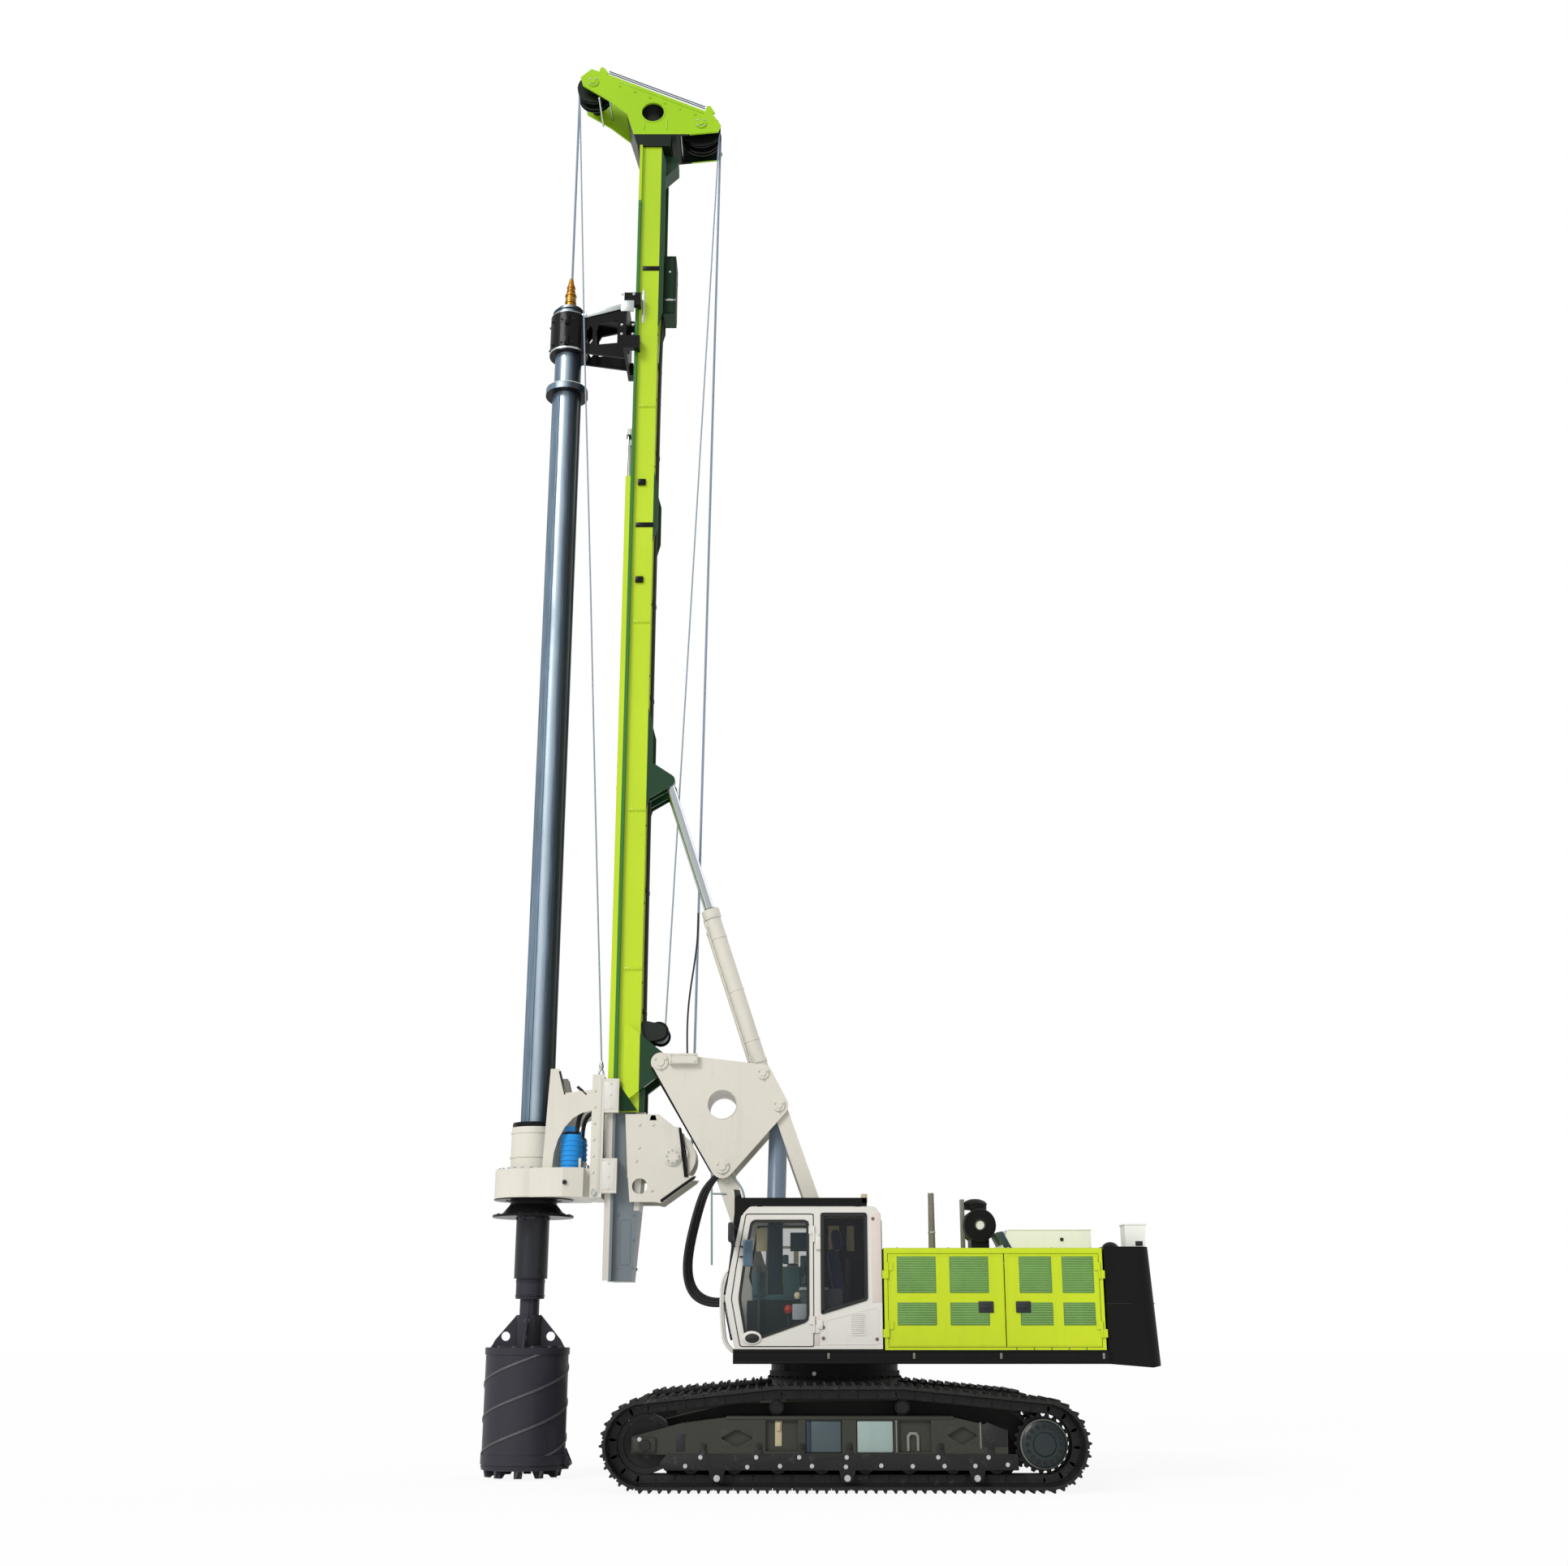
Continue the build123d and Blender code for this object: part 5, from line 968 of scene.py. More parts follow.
blocks("hinge_covers", house, cab_grey, [((0.19, 0.252), (1.499, 1.528), (2.58, 2.735)),
    ((0.17, 0.24), (1.499, 1.52), (1.7, 1.8))], 0.012)
bolts("cab_screws", house, rust_bolt, 0.014, 0.012, [((0.165, 1.5, 1.6), left), ((-0.42, 1.5, 2.93), left),
    ((-0.45, 1.5, 1.59), left), ((0.165, 1.5, 1.72), left)])
vent_slats = [1.655 + 0.022 * i for i in range(10)]
blocks("cab_vent", house, cab_grey, [((-0.3, -0.17), (1.499, 1.508), (z, z + 0.012)) for z in vent_slats], 0.002)
seals("cab_pressings", house, cab_grey, [([(-0.32, 1.63), (-0.15, 1.63), (-0.15, 1.88), (-0.32, 1.88)], 0.015, 0.012,
    1.499, 1.506), ([(-0.47, 1.53), (0.14, 1.53), (0.14, 1.8), (-0.47, 1.95)], 0.03, 0.01, 1.498, 1.5035)])
blocks("cab_sill", house, deck_black, [((-0.515, 1.2), (1.47, 1.506), (1.468, 1.482))], 0.004)
blocks("cab_corner_strip", house, pink_grey, [((-0.513, -0.4), (1.498, 1.503), (1.99, 2.99)),
    ((0.205, 0.262), (1.498, 1.502), (1.52, 1.85))], 0.002)
roof = [(1.105, 2.985), (1.022, 3.066), (0.99, 3.075), (-0.41, 3.075), (-0.452, 3.066), (-0.51, 2.985)]
plates("roof_skin", house, cab_grey, [(roof + [(-0.45, 2.99), (1.05, 2.99)], 0.568, 1.492)], 0.012)

# Roof guard fittings, mirrors, lamps, wiper and rails of the cab
blocks("guard_lamp", house, tan_paint, [((-0.36, -0.285), (1.42, 1.5), (3.1, 3.215))], 0.012)
turned("roof_lamps", house, plastic, [([(0, 0), (0.055, 0), (0.07, 0.05), (0.07, 0.07), (0, 0.07)], (1.13, y, 3.215),
    (1, 0, -0.15)) for y in (0.72, 1.34)])
turned("roof_lamp_lenses", house, lamp_glass,
    [(cap(0.06, 0.01), (1.198, y, 3.206), (1, 0, -0.15)) for y in (0.72, 1.34)])
blocks("pillar_mirrors", house, plastic, [((1.2, 1.262), (1.57, 1.72), (2.66, 2.88)),
    ((1.2, 1.26), (0.34, 0.48), (2.5, 2.85))], 0.02)
blocks("pillar_mirror_faces", house, mirror_glass, [((1.196, 1.203), (1.585, 1.705), (2.675, 2.865)),
    ((1.196, 1.203), (0.355, 0.465), (2.515, 2.835))], 0.004)
lines("mirror_arms", [[(1.16, 1.48, 2.8), (1.2, 1.52, 2.86), (1.23, 1.6, 2.84), (1.235, 1.64, 2.8)],
    [(1.18, 1.48, 2.62), (1.22, 1.53, 2.62), (1.235, 1.62, 2.7)], [(1.16, 0.58, 2.8), (1.2, 0.52, 2.84),
    (1.235, 0.42, 2.8)]], 0.012, house, plastic)
blocks("door_mirror", "cab_door", plate_blue, [((0.975, 1.09), (1.57, 1.6), (2.39, 2.69))], 0.02)
blocks("door_mirror_face", "cab_door", mirror_glass, [((0.99, 1.075), (1.598, 1.604), (2.405, 2.675))], 0.004)
lines("door_mirror_arm", [[(1.12, 1.49, 2.62), (1.1, 1.55, 2.6), (1.05, 1.585, 2.6)],
    [(1.13, 1.49, 2.5), (1.11, 1.55, 2.5), (1.05, 1.585, 2.5)]], 0.01, "cab_door", plastic)
lines("front_grab_rails", [[(1.25, y, 2.36), (1.33, y, 2.3), (1.35, y, 2.0), (1.33, y, 1.7), (1.3, y, 1.52),
    (1.2, y, 1.45)] for y in (1.44, 0.62)], 0.016, house, cab_grey)
lines("wiper", [[(1.175, 1.03, 2.92), (1.2, 1.05, 2.9), (1.235, 1.12, 2.6), (1.262, 1.2, 2.36)]], 0.008, house,
    plastic)
blocks("wiper_blade", house, seal_black, [((1.252, 1.272), (1.1, 1.3), (2.33, 2.35))], 0.004)
blocks("wiper_motor", house, plastic, [((1.1, 1.19), (0.96, 1.1), (2.92, 2.985))], 0.012)

# Inside the cab
floor_z = 1.528
seat_y = cab_y
far_wall = 0.62
blocks("cab_floor_mat", house, seal_black, [((-0.4, 1.1), (0.63, 1.43), (floor_z - 0.002, floor_z + 0.012))], 0.004)
far_wall_pieces = (
    ("far_wall_trim", interior_dark, 0.01, (
        (-0.455, 1.06, 0.65, 1.54, 2.03), (-0.455, 0.3, 0.645, 2.03, 2.6), (-0.455, -0.233, 0.645, 2.58, 2.96),
        (-0.143, -0.055, 0.645, 2.58, 2.96), (0.081, 0.31, 0.645, 2.58, 2.96), (-0.455, 0.31, 0.645, 2.9, 2.98))),
    ("far_wall_light_trim", cream, 0.004, (
        (-0.233, -0.143, 0.64, 2.6, 2.9), (-0.055, 0.081, 0.64, 2.6, 2.9), (0.82, 0.95, 0.64, 2.6, 2.87),
        (0.44, 0.5, 0.645, 2.46, 2.6))),
    ("far_wall_panels", interior_navy, 0.01, ((0.63, 0.81, 0.648, 2.03, 2.93), (0.3, 0.54, 0.64, 2.6, 2.82))),
    ("far_wall_boxes", interior_teal, 0.016, (
        (0.84, 1.0, 0.7, 2.08, 2.36), (0.42, 0.62, 0.68, 2.05, 2.42), (0.3, 0.42, 0.66, 2.03, 2.55),
        (0.56, 0.63, 0.66, 2.45, 2.56), (0.3, 1.0, 0.67, 2.03, 2.1))),
)
for name, material, rounding, panels in far_wall_pieces:
    table = [((x0, x1), (far_wall, y), (z0, z1)) for x0, x1, y, z0, z1 in panels]
    blocks(name, house, material, table, rounding)
blocks("console_lids", house, console_grey, [((0.1, 0.44), (seat_y + side * 0.33 - 0.068,
    seat_y + side * 0.33 + 0.068), (2.13, 2.165)) for side in both]
    + [((0.3, 0.52), (1.28, 1.43), (1.8, 1.98))], 0.014)
turned("lever_boots", house, seal_black, [([(0, 0), (0.05, 0), (0.044, 0.02), (0.034, 0.03), (0.034, 0.045),
    (0.022, 0.06), (0, 0.062)], (0.37, seat_y + side * 0.33, 2.15), up) for side in both])
grip = [(0, 0), (0.018, 0.005), (0.024, 0.05), (0.028, 0.1), (0.022, 0.135), (0, 0.142)]
turned("lever_grips", house, plastic, [(grip, (0.37, seat_y + side * 0.33, 2.3), (0.15, 0, 1)) for side in both])
turned("cream_knob", house, cream, [([(0, 0), (0.03, 0.01), (0.042, 0.04), (0.03, 0.075), (0, 0.085)],
    (0.46, 1.36, 2.03), up)])
turned("red_lever_knob", house, knob_red, [([(0, 0), (0.035, 0.01), (0.05, 0.05), (0.035, 0.09), (0, 0.1)],
    (0.565, 1.33, 1.87), up)])
bars("knob_stems", house, plastic, [((0.565, 1.33, 1.53), (0.565, 1.33, 1.88), 0.012),
    ((0.46, 1.36, 1.97), (0.46, 1.36, 2.04), 0.01)])
blocks("screen_face", house, interior_navy, [((0.894, 0.902), (0.63, 0.81), (2.25, 2.41))], 0.006)
blocks("pedals", house, plastic, [((0.98, 1.02), (y, y + 0.09), (1.54, 1.66)) for y in (0.86, 0.98, 1.1)], 0.008)
turned("pedal_levers", house, seal_black, [(cap(0.012, 0.14), (0.99, y, 1.6), (0.2, 0, 1))
    for y in (0.9, 1.02, 1.14)])


def cushion(name, x, y, z, crown, channels, lean=0.0):
    """Padded seat piece: crowned faces, sides drawn in between the corners, sewn channels across its top."""
    bm = bmesh.new()
    bmesh.ops.create_cube(bm, size=2)
    bmesh.ops.subdivide_edges(bm, edges=bm.edges, cuts=13, use_grid_fill=True)
    for corner in bm.verts:
        u, v, w = corner.co
        rim = max(abs(u), abs(v))
        thin = 1 - 0.42 * rim**6
        channel = sum(math.exp(-(((v - place) / 0.06) ** 2)) for place in channels) if w > 0 else 0
        raised = crown * (1 - u * u) * (1 - v * v) if w > 0 else 0
        corner.co = (u * (1 - 0.05 * (1 - v * v) * abs(u)), v * (1 - 0.05 * (1 - u * u) * abs(v)),
            w * thin + raised - 0.22 * channel * (1 - rim**4))
    for _ in range(3):
        bmesh.ops.smooth_vert(bm, verts=bm.verts, factor=0.5, use_axis_x=True, use_axis_y=True, use_axis_z=True)
    half = [(high - low) / 2 for low, high in (x, y, z)]
    middle = [(high + low) / 2 for low, high in (x, y, z)]
    place = Matrix.Translation(middle) @ Matrix.Rotation(lean, 4, "Y") @ Matrix.Diagonal((*half, 1))
    bmesh.ops.transform(bm, matrix=place, verts=bm.verts)
    piece = finished(name, bm, house, seat_cloth, 80)
    return piece


cushion("seat_cushion", (-0.1, 0.41), (seat_y - 0.25, seat_y + 0.25), (1.86, 2.0), 0.25, (-0.5, 0.5))
cushion("seat_back", (-0.33, 0.33), (seat_y - 0.235, seat_y + 0.235), (2.21, 2.35), 0.2, (-0.45, 0.45), -1.4)
cushion("seat_headrest", (-0.115, 0.11), (seat_y - 0.135, seat_y + 0.135), (2.66, 2.77), 0.3, (), -1.45)
seat_frame = blocks("seat_frame", house, plastic, [((-0.1, 0.35), (seat_y - 0.18, seat_y + 0.18), (floor_z, 1.72)),
    ((-0.06, 0.3), (seat_y - 0.12, seat_y + 0.12), (1.72, 1.85)), ((-0.12, 0.38), (seat_y - 0.22, seat_y + 0.22),
    (1.835, 1.87)), ((-0.17, -0.1), (seat_y - 0.2, seat_y + 0.2), (1.9, 2.5))], 0.02)
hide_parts("operator_seat")


# Ropes

front_sheave = (3.5, 19.7)
rear_sheave = (1.86, 18.96)
kelly_x = 3.75
rope_x = kelly_x - 0.009
tangent = 113.0


def over_head(radii, foot, tail):
    """Route over both sheaves, of (x, z), from a foot behind the mast to a tail in front of it."""
    route = [foot]
    for centre, radius, start, end in ((rear_sheave, radii[0], 180, tangent), (front_sheave, radii[1], tangent, 0)):
        steps = math.ceil((start - end) / 9)
        for i in range(steps + 1):
            angle = math.radians(start + (end - start) * i / steps)
            route.append((centre[0] + radius * math.cos(angle), centre[1] + radius * math.sin(angle)))
    return route + [tail]


def wound(name, body, centre, core, strand, reach, turns, material):
    """Rope laid side by side round a drum whose axis is level."""
    steps = turns * 24
    route = []
    for i in range(steps + 1):
        angle = 2 * math.pi * i / 24
        y = -reach + 2 * reach * i / steps
        route.append((centre[0] + core * math.cos(angle), y, centre[1] + core * math.sin(angle)))
    return lines(name, [route], strand, body, material, 2)


hoist = over_head((0.281, 0.241), (1.782, 3.76), (rope_x, 19.4))
lines("hoist_rope_head", [[(x, 0, z) for x, z in hoist]], 0.017, mast, rope_steel, 2)
drop = lines("hoist_rope_drop", [[(rope_x, 0, z) for z in (15.92, 16.8, 17.7, 18.6, 19.41)]],
    0.017, None, rope_steel, 2)
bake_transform(drop)
aux = over_head((0.274, 0.234), (2.135, 5.33), (3.70, 19.3))
lines("auxiliary_rope_head", [[(x, 0.19, z) for x, z in aux]], 0.011, mast, thin_rope_steel, 2)
aux_fall = [(3.7, 0.19, 19.31), (3.6, 0.25, 17.4), (3.5, 0.255, 15.4), (3.31, 0.25, 12.0),
    (3.12, 0.245, 8.4), (2.93, 0.24, 4.93)]
fall = lines("auxiliary_rope_fall", [aux_fall], 0.011, None, thin_rope_steel, 2)
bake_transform(fall)
wound("hoist_rope_coils", "winch_drum", (2.0, 3.75), 0.216, 0.0165, 0.28, 17, rope_steel)
wound("auxiliary_rope_coils", "aux_winch_drum", (2.215, 5.33), 0.09, 0.011, 0.18, 16, thin_rope_steel)
lines("parked_shackle", [[(2.9, 0.24, 4.75), (2.9, 0.24, 4.82), (2.93, 0.24, 4.85), (2.96, 0.24, 4.82),
    (2.96, 0.24, 4.75)]], 0.012, drive, bright)
turned("rope_thimble", drive, bright, [([(0, 0), (0.022, 0), (0.03, 0.05), (0.016, 0.11), (0, 0.11)],
    (2.93, 0.24, 4.84), up)])


# Boom linkage, its cylinders and the hoses between them

boom_foot = (0.75, 1.85)
boom_head = (1.38, 3.62)
link_foot = (0.05, 2.6)
link_head = (0.68, 4.37)
mast_hinge = (2.17, 4.91)
mast_foot = (0.88, 4.77)
mast_eye = (2.15, 8.66)
disc_height = 0.018


def pin_covers(name, body, material, table):
    """Retaining disc and three screws on each pin's outer end, from rows of (pivot, y, radius)."""
    bm = bmesh.new()
    for side, ((x, z), y, radius) in sided(table, True):
        way = (0, side, 0)
        for disc, height in ((radius, disc_height), (radius * 0.55, 0.03)):
            stamp(bm, lathe(cap(disc, height, 0.006)), [facing((x, side * y, z), way)])
        screws = round_row(3, radius * 0.78, (x, side * (y + disc_height), z), way, 0.25)
        stamp(bm, bolt(0.013, 0.018), [facing(*screw) for screw in screws])
    return finished(name, bm, body, material)


pin_covers("house_pin_covers", house, warm_grey, [(boom_foot, 0.44, 0.085), (link_foot, 0.44, 0.075)])
pin_covers("triangle_pin_covers", "triangle", warm_grey, [(boom_head, 0.44, 0.09), (link_head, 0.44, 0.078),
    (mast_hinge, 0.44, 0.1), (mast_foot, 0.44, 0.078)])


def along(foot, head, at, off=0.0):
    """Point (x, z) at a distance along a line, moved square to it."""
    length = math.dist(foot, head)
    ux, uz = (head[0] - foot[0]) / length, (head[1] - foot[1]) / length
    return foot[0] + ux * at - uz * off, foot[1] + uz * at + ux * off


def cylinder_fittings(name, body, foot, head, lane, radius, length, material):
    """Gland with its bolts, ports, pressure pipe and clamps on a barrel, left and right."""
    way = (head[0] - foot[0], 0, head[1] - foot[1])
    bm = bmesh.new()
    for side in both:
        y = side * lane

        def spot(at, off=0.0, across=0.0):
            x, z = along(foot, head, at, off)
            return x, y + across, z

        gland = [(-0.004, 0), (0.017, 0.005), (0.017, 0.075), (0.004, 0.09), (-0.03, 0.098), (-0.034, 0.004)]
        gland = [(radius + out, z) for out, z in gland + gland[:1]]
        stamp(bm, lathe(gland), [facing(spot(length - 0.1), way)])
        screws = round_row(10, radius - 0.012, spot(length - 0.006), way)
        stamp(bm, bolt(0.01, 0.012), [facing(*screw) for screw in screws])
        stamp(bm, lathe(hoop(radius - 0.004, radius + 0.009, 0.05)), [facing(spot(0.16), way)])
        for at in (0.24, length - 0.17):
            port = spot(at, -radius + 0.01)
            slab(bm, (port[0] - 0.035, port[0] + 0.03), (y - 0.035, y + 0.035),
                (port[2] - 0.035, port[2] + 0.035), 0.006)
        for at in (0.45, length * 0.5, length - 0.4):
            stamp(bm, lathe(hoop(radius - 0.002, radius + 0.006, 0.03), 24), [facing(spot(at), way)])
        rod(bm, spot(0.26, -radius - 0.012, side * 0.03),
            spot(length - 0.16, -radius - 0.012, side * 0.03), 0.011, sides=12)
    return finished(name, bm, body, material)


cylinder_fittings("luff_barrel_fittings", "luff_barrels", boom_foot, link_head, 0.165, 0.085, 1.48, warm_grey)
cylinder_fittings("mast_barrel_fittings", "mast_barrels", mast_foot, mast_eye, 0.23, 0.1, 2.25, warm_grey)
cover_way = (boom_foot[0] - link_head[0], 0, boom_foot[1] - link_head[1])
cover_x, cover_z = along(link_head, boom_foot, 0.14)
rod_cover = [(0.056, 0), (0.1, 0), (0.116, 0.02), (0.116, 1.05), (0.119, 1.055), (0.119, 1.1), (0.107, 1.1),
    (0.107, 0.02), (0.056, 0.012), (0.056, 0)]
turned("luff_rod_covers", "luff_rods", barrel_blue, [(rod_cover, (cover_x, 0.165, cover_z), cover_way)], True)
wiper_x, wiper_z = along(mast_foot, mast_eye, 2.25)
wiper_way = (mast_eye[0] - mast_foot[0], 0, mast_eye[1] - mast_foot[1])
rod_wipers = bmesh.new()
stamp(rod_wipers, lathe(hoop(0.062, 0.076, 0.02)),
    [facing((wiper_x, side * 0.23, wiper_z), wiper_way) for side in both])
finished("mast_rod_wipers", rod_wipers, "mast_barrels", seal_black)

turned("boom_grease_plates", "boom", warm_grey, [(cap(0.03, 0.012), (x, 0.33, z), left)
    for x, z in [along(boom_foot, boom_head, at) for at in (0.2, 1.7)]], True)
black_edge = [(1.5, 3.535), (1.52, 3.555), (2.285, 4.84), (2.262, 4.845)]
plates("triangle_black_edges", "triangle", black_ring, [(black_edge, 0.402, 0.4405)], 0.0, True)
seals("triangle_box_lid", "triangle", warm_grey,
    [([(1.715, 4.89), (2.045, 4.89), (2.045, 5.0), (1.715, 5.0)], 0.012, 0.014, 0.509, 0.516)])
bolts("triangle_box_screws", "triangle", bright, 0.007, 0.008, [((x, 0.515, z), left) for x in (1.73, 2.03)
    for z in (4.905, 4.985)])
turned("triangle_window_welds", "triangle", warm_grey, [([(0.179, 0), (0.19, 0), (0.185, 0.007), (0.179, 0.007),
    (0.179, 0)], (1.39, 0.439, 4.385), left)], True)
bars("hose_hanger", "boom", plate_pale, [((1.514, 0.345, 3.6), (1.499, 0.345, 2.45), 0.012),
    ((1.33, 0.33, 3.3), (1.514, 0.345, 3.3), 0.012)])

hose_ways = []
for i, y in enumerate((0.37, 0.425, 0.48)):
    out = 0.035 * i
    hose_ways.append([(1.349, 0.345, 3.62), (1.52 + out, 0.345 + out * 0.3, 3.42),
        (1.59 + out, 0.35 + out * 0.5, 3.25), (1.66 + out, y, 3.0), (1.79 + out, y, 2.43), (1.69 + out, y, 2.1 - out),
        (1.412, y, 2.02 - out), (1.2, y, 2.1 - out), (1.02, y, 2.05 - out), (0.93, y, 1.75), (0.9, y, 1.5)])
luff_hoses = lines("boom_hoses", hose_ways, 0.023, None, hose_black, 4)
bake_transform(luff_hoses)
blocks("deck_hose_plate", house, deck_black, [((0.82, 0.98), (0.34, 0.52), (1.478, 1.5))], 0.006)
blocks("boom_hose_clamp", "boom", warm_grey, [((1.3, 1.4), (0.32, 0.37), (3.56, 3.68))], 0.01)
lines("rope_guide_arm", [[(1.3, 0.345, 3.56), (1.16, 0.35, 3.42), (1.1, 0.35, 3.26), (1.09, 0.345, 3.12)]],
    0.014, "boom", plate_pale)
bracket = bmesh.new()
rod(bracket, (1.84, 0.42, 4.96), (1.84, 0.24, 5.05), 0.012, sides=12)
finished("barrel_hose_bracket", bracket, "triangle", plastic)
barrel_hose = lines("mast_barrel_hose", [[(1.84, 0.3, 5.02), (1.86, 0.3, 5.5), (1.8, 0.3, 6.0), (1.72, 0.3, 6.5),
    (1.73, 0.29, 6.86)]], 0.012, None, hose_black, 4)
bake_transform(barrel_hose)


# Mast

mast_side = 0.318
joint_rows = (6.1, 8.225, 10.9, 14.2)

blocks("mast_joint_bands", mast, lime,
    [((2.445, 2.672), (mast_side, 0.327), (z, z + 0.045)) for z in joint_rows], 0.003, True)
joint_bolts = [((2.475 + 0.043 * i, 0.327, z + 0.0225), left) for z in joint_rows for i in range(5)]
bolts("mast_joint_bolts", mast, lime, 0.011, 0.011, joint_bolts, True)
blocks("mast_black_bands", mast, black_ring, [((2.435, 2.675), (mast_side, 0.332), (z, z + 0.07))
    for z in (16.44, 12.34)], 0.004, True)
blocks("mast_side_lugs", mast, black_ring,
    [((2.55, 2.66), (mast_side, 0.352), (z, z + 0.09)) for z in (12.98, 11.5)], 0.008, True)
plates("hinge_bracket_shade", mast, box_green,
    [([(2.67, 4.3), (2.67, 4.62), (2.45, 4.31)], 0.392, 0.3985)], 0.0, True)
plates("mast_side_bracket", mast, leaf_green, [([(2.63, 5.02), (2.6, 5.13), (2.5, 5.15), (2.48, 5.04), (2.53, 5.0)],
    mast_side, 0.36)], 0.006, True)
blocks("mast_light_streak", mast, silver, [((2.63, 2.668), (mast_side, 0.324), (15.57, 16.11))], 0.002)
bolts("mast_flange_bolts", mast, lime, 0.012, 0.012, [((2.44, y, z), rear)
    for z in [4.9 + 1.05 * i for i in range(13)] for y in (-0.27, 0.27)])
lines("mast_rear_hoses", [[(2.40, y, 4.7), (2.415, y, 5.1), (2.418, y, 8.0), (2.418, y, 12.0), (2.418, y, 15.4),
    (2.39, y * 0.6, 15.82)] for y in (0.06, -0.06, -0.12)], 0.018, mast, hose_black, 3)
blocks("mast_hose_clips", mast, plastic, [((2.395, 2.442), (-0.15, 0.09), (z, z + 0.05))
    for z in (5.6, 7.2, 9.9, 11.3, 13.6, 15.0)], 0.006)
seals("cable_box_lid", mast, box_black, [([(2.215, 15.82), (2.355, 15.82), (2.355, 16.75), (2.215, 16.75)], 0.015,
    0.014, 0.188, 0.197)], True)
blocks("cable_box_fittings", mast, plastic, [((2.194, 2.203), (-0.17, 0.17), (15.84, 16.73)),
    ((2.19, 2.2), (0.03, 0.09), (16.2, 16.32)), ((2.19, 2.2), (-0.17, 0.17), (16.5, 16.52))], 0.004)
blocks("cable_box_strap", mast, silver, [((2.2, 2.365), (0.189, 0.195), (16.02, 16.05))], 0.002, True)
bolts("cable_box_latches", mast, bright, 0.012, 0.012, [((2.285, 0.195, z), left) for z in (16.035, 16.5)], True)

# Crowd cylinder on the mast's front
crowd_x = 2.812
turned("crowd_gland", mast, warm_grey, [(hoop(0.043, 0.052, 0.09), (crowd_x, 0, 8.295), up),
    (hoop(0.043, 0.05, 0.04), (crowd_x, 0, 9.4), up), (hoop(0.043, 0.05, 0.04), (crowd_x, 0, 12.2), up)], sides=24)
blocks("crowd_ports", mast, black_ring, [((2.80, 2.862), (0.03, 0.08), (z, z + 0.06))
    for z in (8.6, 8.912, 9.737, 13.85)], 0.008)
lines("crowd_pipes", [[(2.84, 0.075, 8.63), (2.845, 0.11, 8.75), (2.84, 0.12, 9.2), (2.84, 0.12, 13.4),
    (2.835, 0.07, 13.88)]], 0.011, mast, bright)

# Lower mast
bolts("lower_mast_bolts", mast, slate, 0.012, 0.012, [((x, 0.3, z), left) for x in (2.47, 2.66)
    for z in (2.42, 2.75, 3.05)], True)
seals("lower_mast_pressing", mast, slate,
    [([(2.5, 2.45), (2.64, 2.45), (2.64, 3.0), (2.5, 3.0)], 0.03, 0.012, 0.298, 0.305)], True)
blocks("lower_mast_foot_plate", mast, slate, [((2.478, 2.755), (-0.3, 0.3), (2.262, 2.272))], 0.003)

# Head
head_face = 0.349
sheaves = (rear_sheave, front_sheave)
turned("head_axle_caps", mast, head_lime, [(cap(0.085, 0.02, 0.006), (x, head_face, z), left) for x, z in sheaves]
    + [(cap(0.045, 0.035, 0.006), (x, head_face, z), left) for x, z in sheaves], True)
cap_bolts = [place for x, z in sheaves for place in round_row(4, 0.066, (x, 0.369, z), left, 0.5)]
bolts("head_axle_bolts", mast, bright, 0.011, 0.011, cap_bolts, True)
turned("head_tube_rim", mast, head_lime, [(hoop(0.166, 0.186, 0.008), (2.584, head_face, 19.16), left)], True)
edge_top = [(1.72, 19.142), (3.25, 19.826)]
lean = math.atan2(edge_top[1][1] - edge_top[0][1], edge_top[1][0] - edge_top[0][0])


def on_edge(at, off):
    """Point (x, z) along the head's upper edge, moved square to it."""
    cos, sin = math.cos(lean), math.sin(lean)
    return edge_top[0][0] + at * cos - off * sin, edge_top[0][1] + at * sin + off * cos


plates("head_stiffeners", mast, head_lime, [([on_edge(0.1, -0.055), on_edge(1.5, -0.055), on_edge(1.5, -0.035),
    on_edge(0.1, -0.035)], head_face, 0.357)] + [([(x, 18.85), (x + 0.02, 18.85), (x + 0.02, 19.02), (x, 19.02)],
    head_face, 0.357) for x in (2.36, 2.7)], 0.002, True)
head_screws = [((x, 0.35, z), left) for x, z in [on_edge(0.2 + 0.25 * i, -0.12) for i in range(6)]]
bolts("head_bolts", mast, head_lime, 0.013, 0.013, head_screws, True)


def rope_guard(centre, reach, angles):
    """Bars across the head that keep a rope on its sheave."""
    points = [(centre[0] + reach * math.cos(a), centre[1] + reach * math.sin(a)) for a in map(math.radians, angles)]
    return [((x, -0.33, z), (x, 0.33, z), 0.014) for x, z in points]


bars("rope_guards", mast, silver, rope_guard(front_sheave, 0.29, (215, 250))
    + rope_guard(rear_sheave, 0.325, (35, 340)))
for name, body, (x, z) in (("sheave_hub_rings", "front_sheaves", front_sheave),
    ("rear_sheave_hub_rings", "rear_sheaves", rear_sheave)):
    hub_rings = [(hoop(0.075, 0.12, 0.02), (x, y, z), left) for y in (0.045, -0.065, 0.225)]
    turned(name, body, roller_steel, hub_rings)
bars("head_guard_rods", mast, plate_blue, [((1.8, 0.335, 19.23 + up_by), (3.26, 0.335, 19.868 + up_by), 0.009)
    for up_by in (0, 0.035)], True, 8)
blocks("head_lamp", mast, tan_paint, [((2.66, 2.78), (0.1, 0.22), (19.6, 19.66))], 0.01)


# Kelly guide at the bar's top


def round_bar(count, radius, z, first=0.0):
    """Bolt places in a level circle round the kelly bar."""
    return round_row(count, radius, (kelly_x, 0, z), up, first)


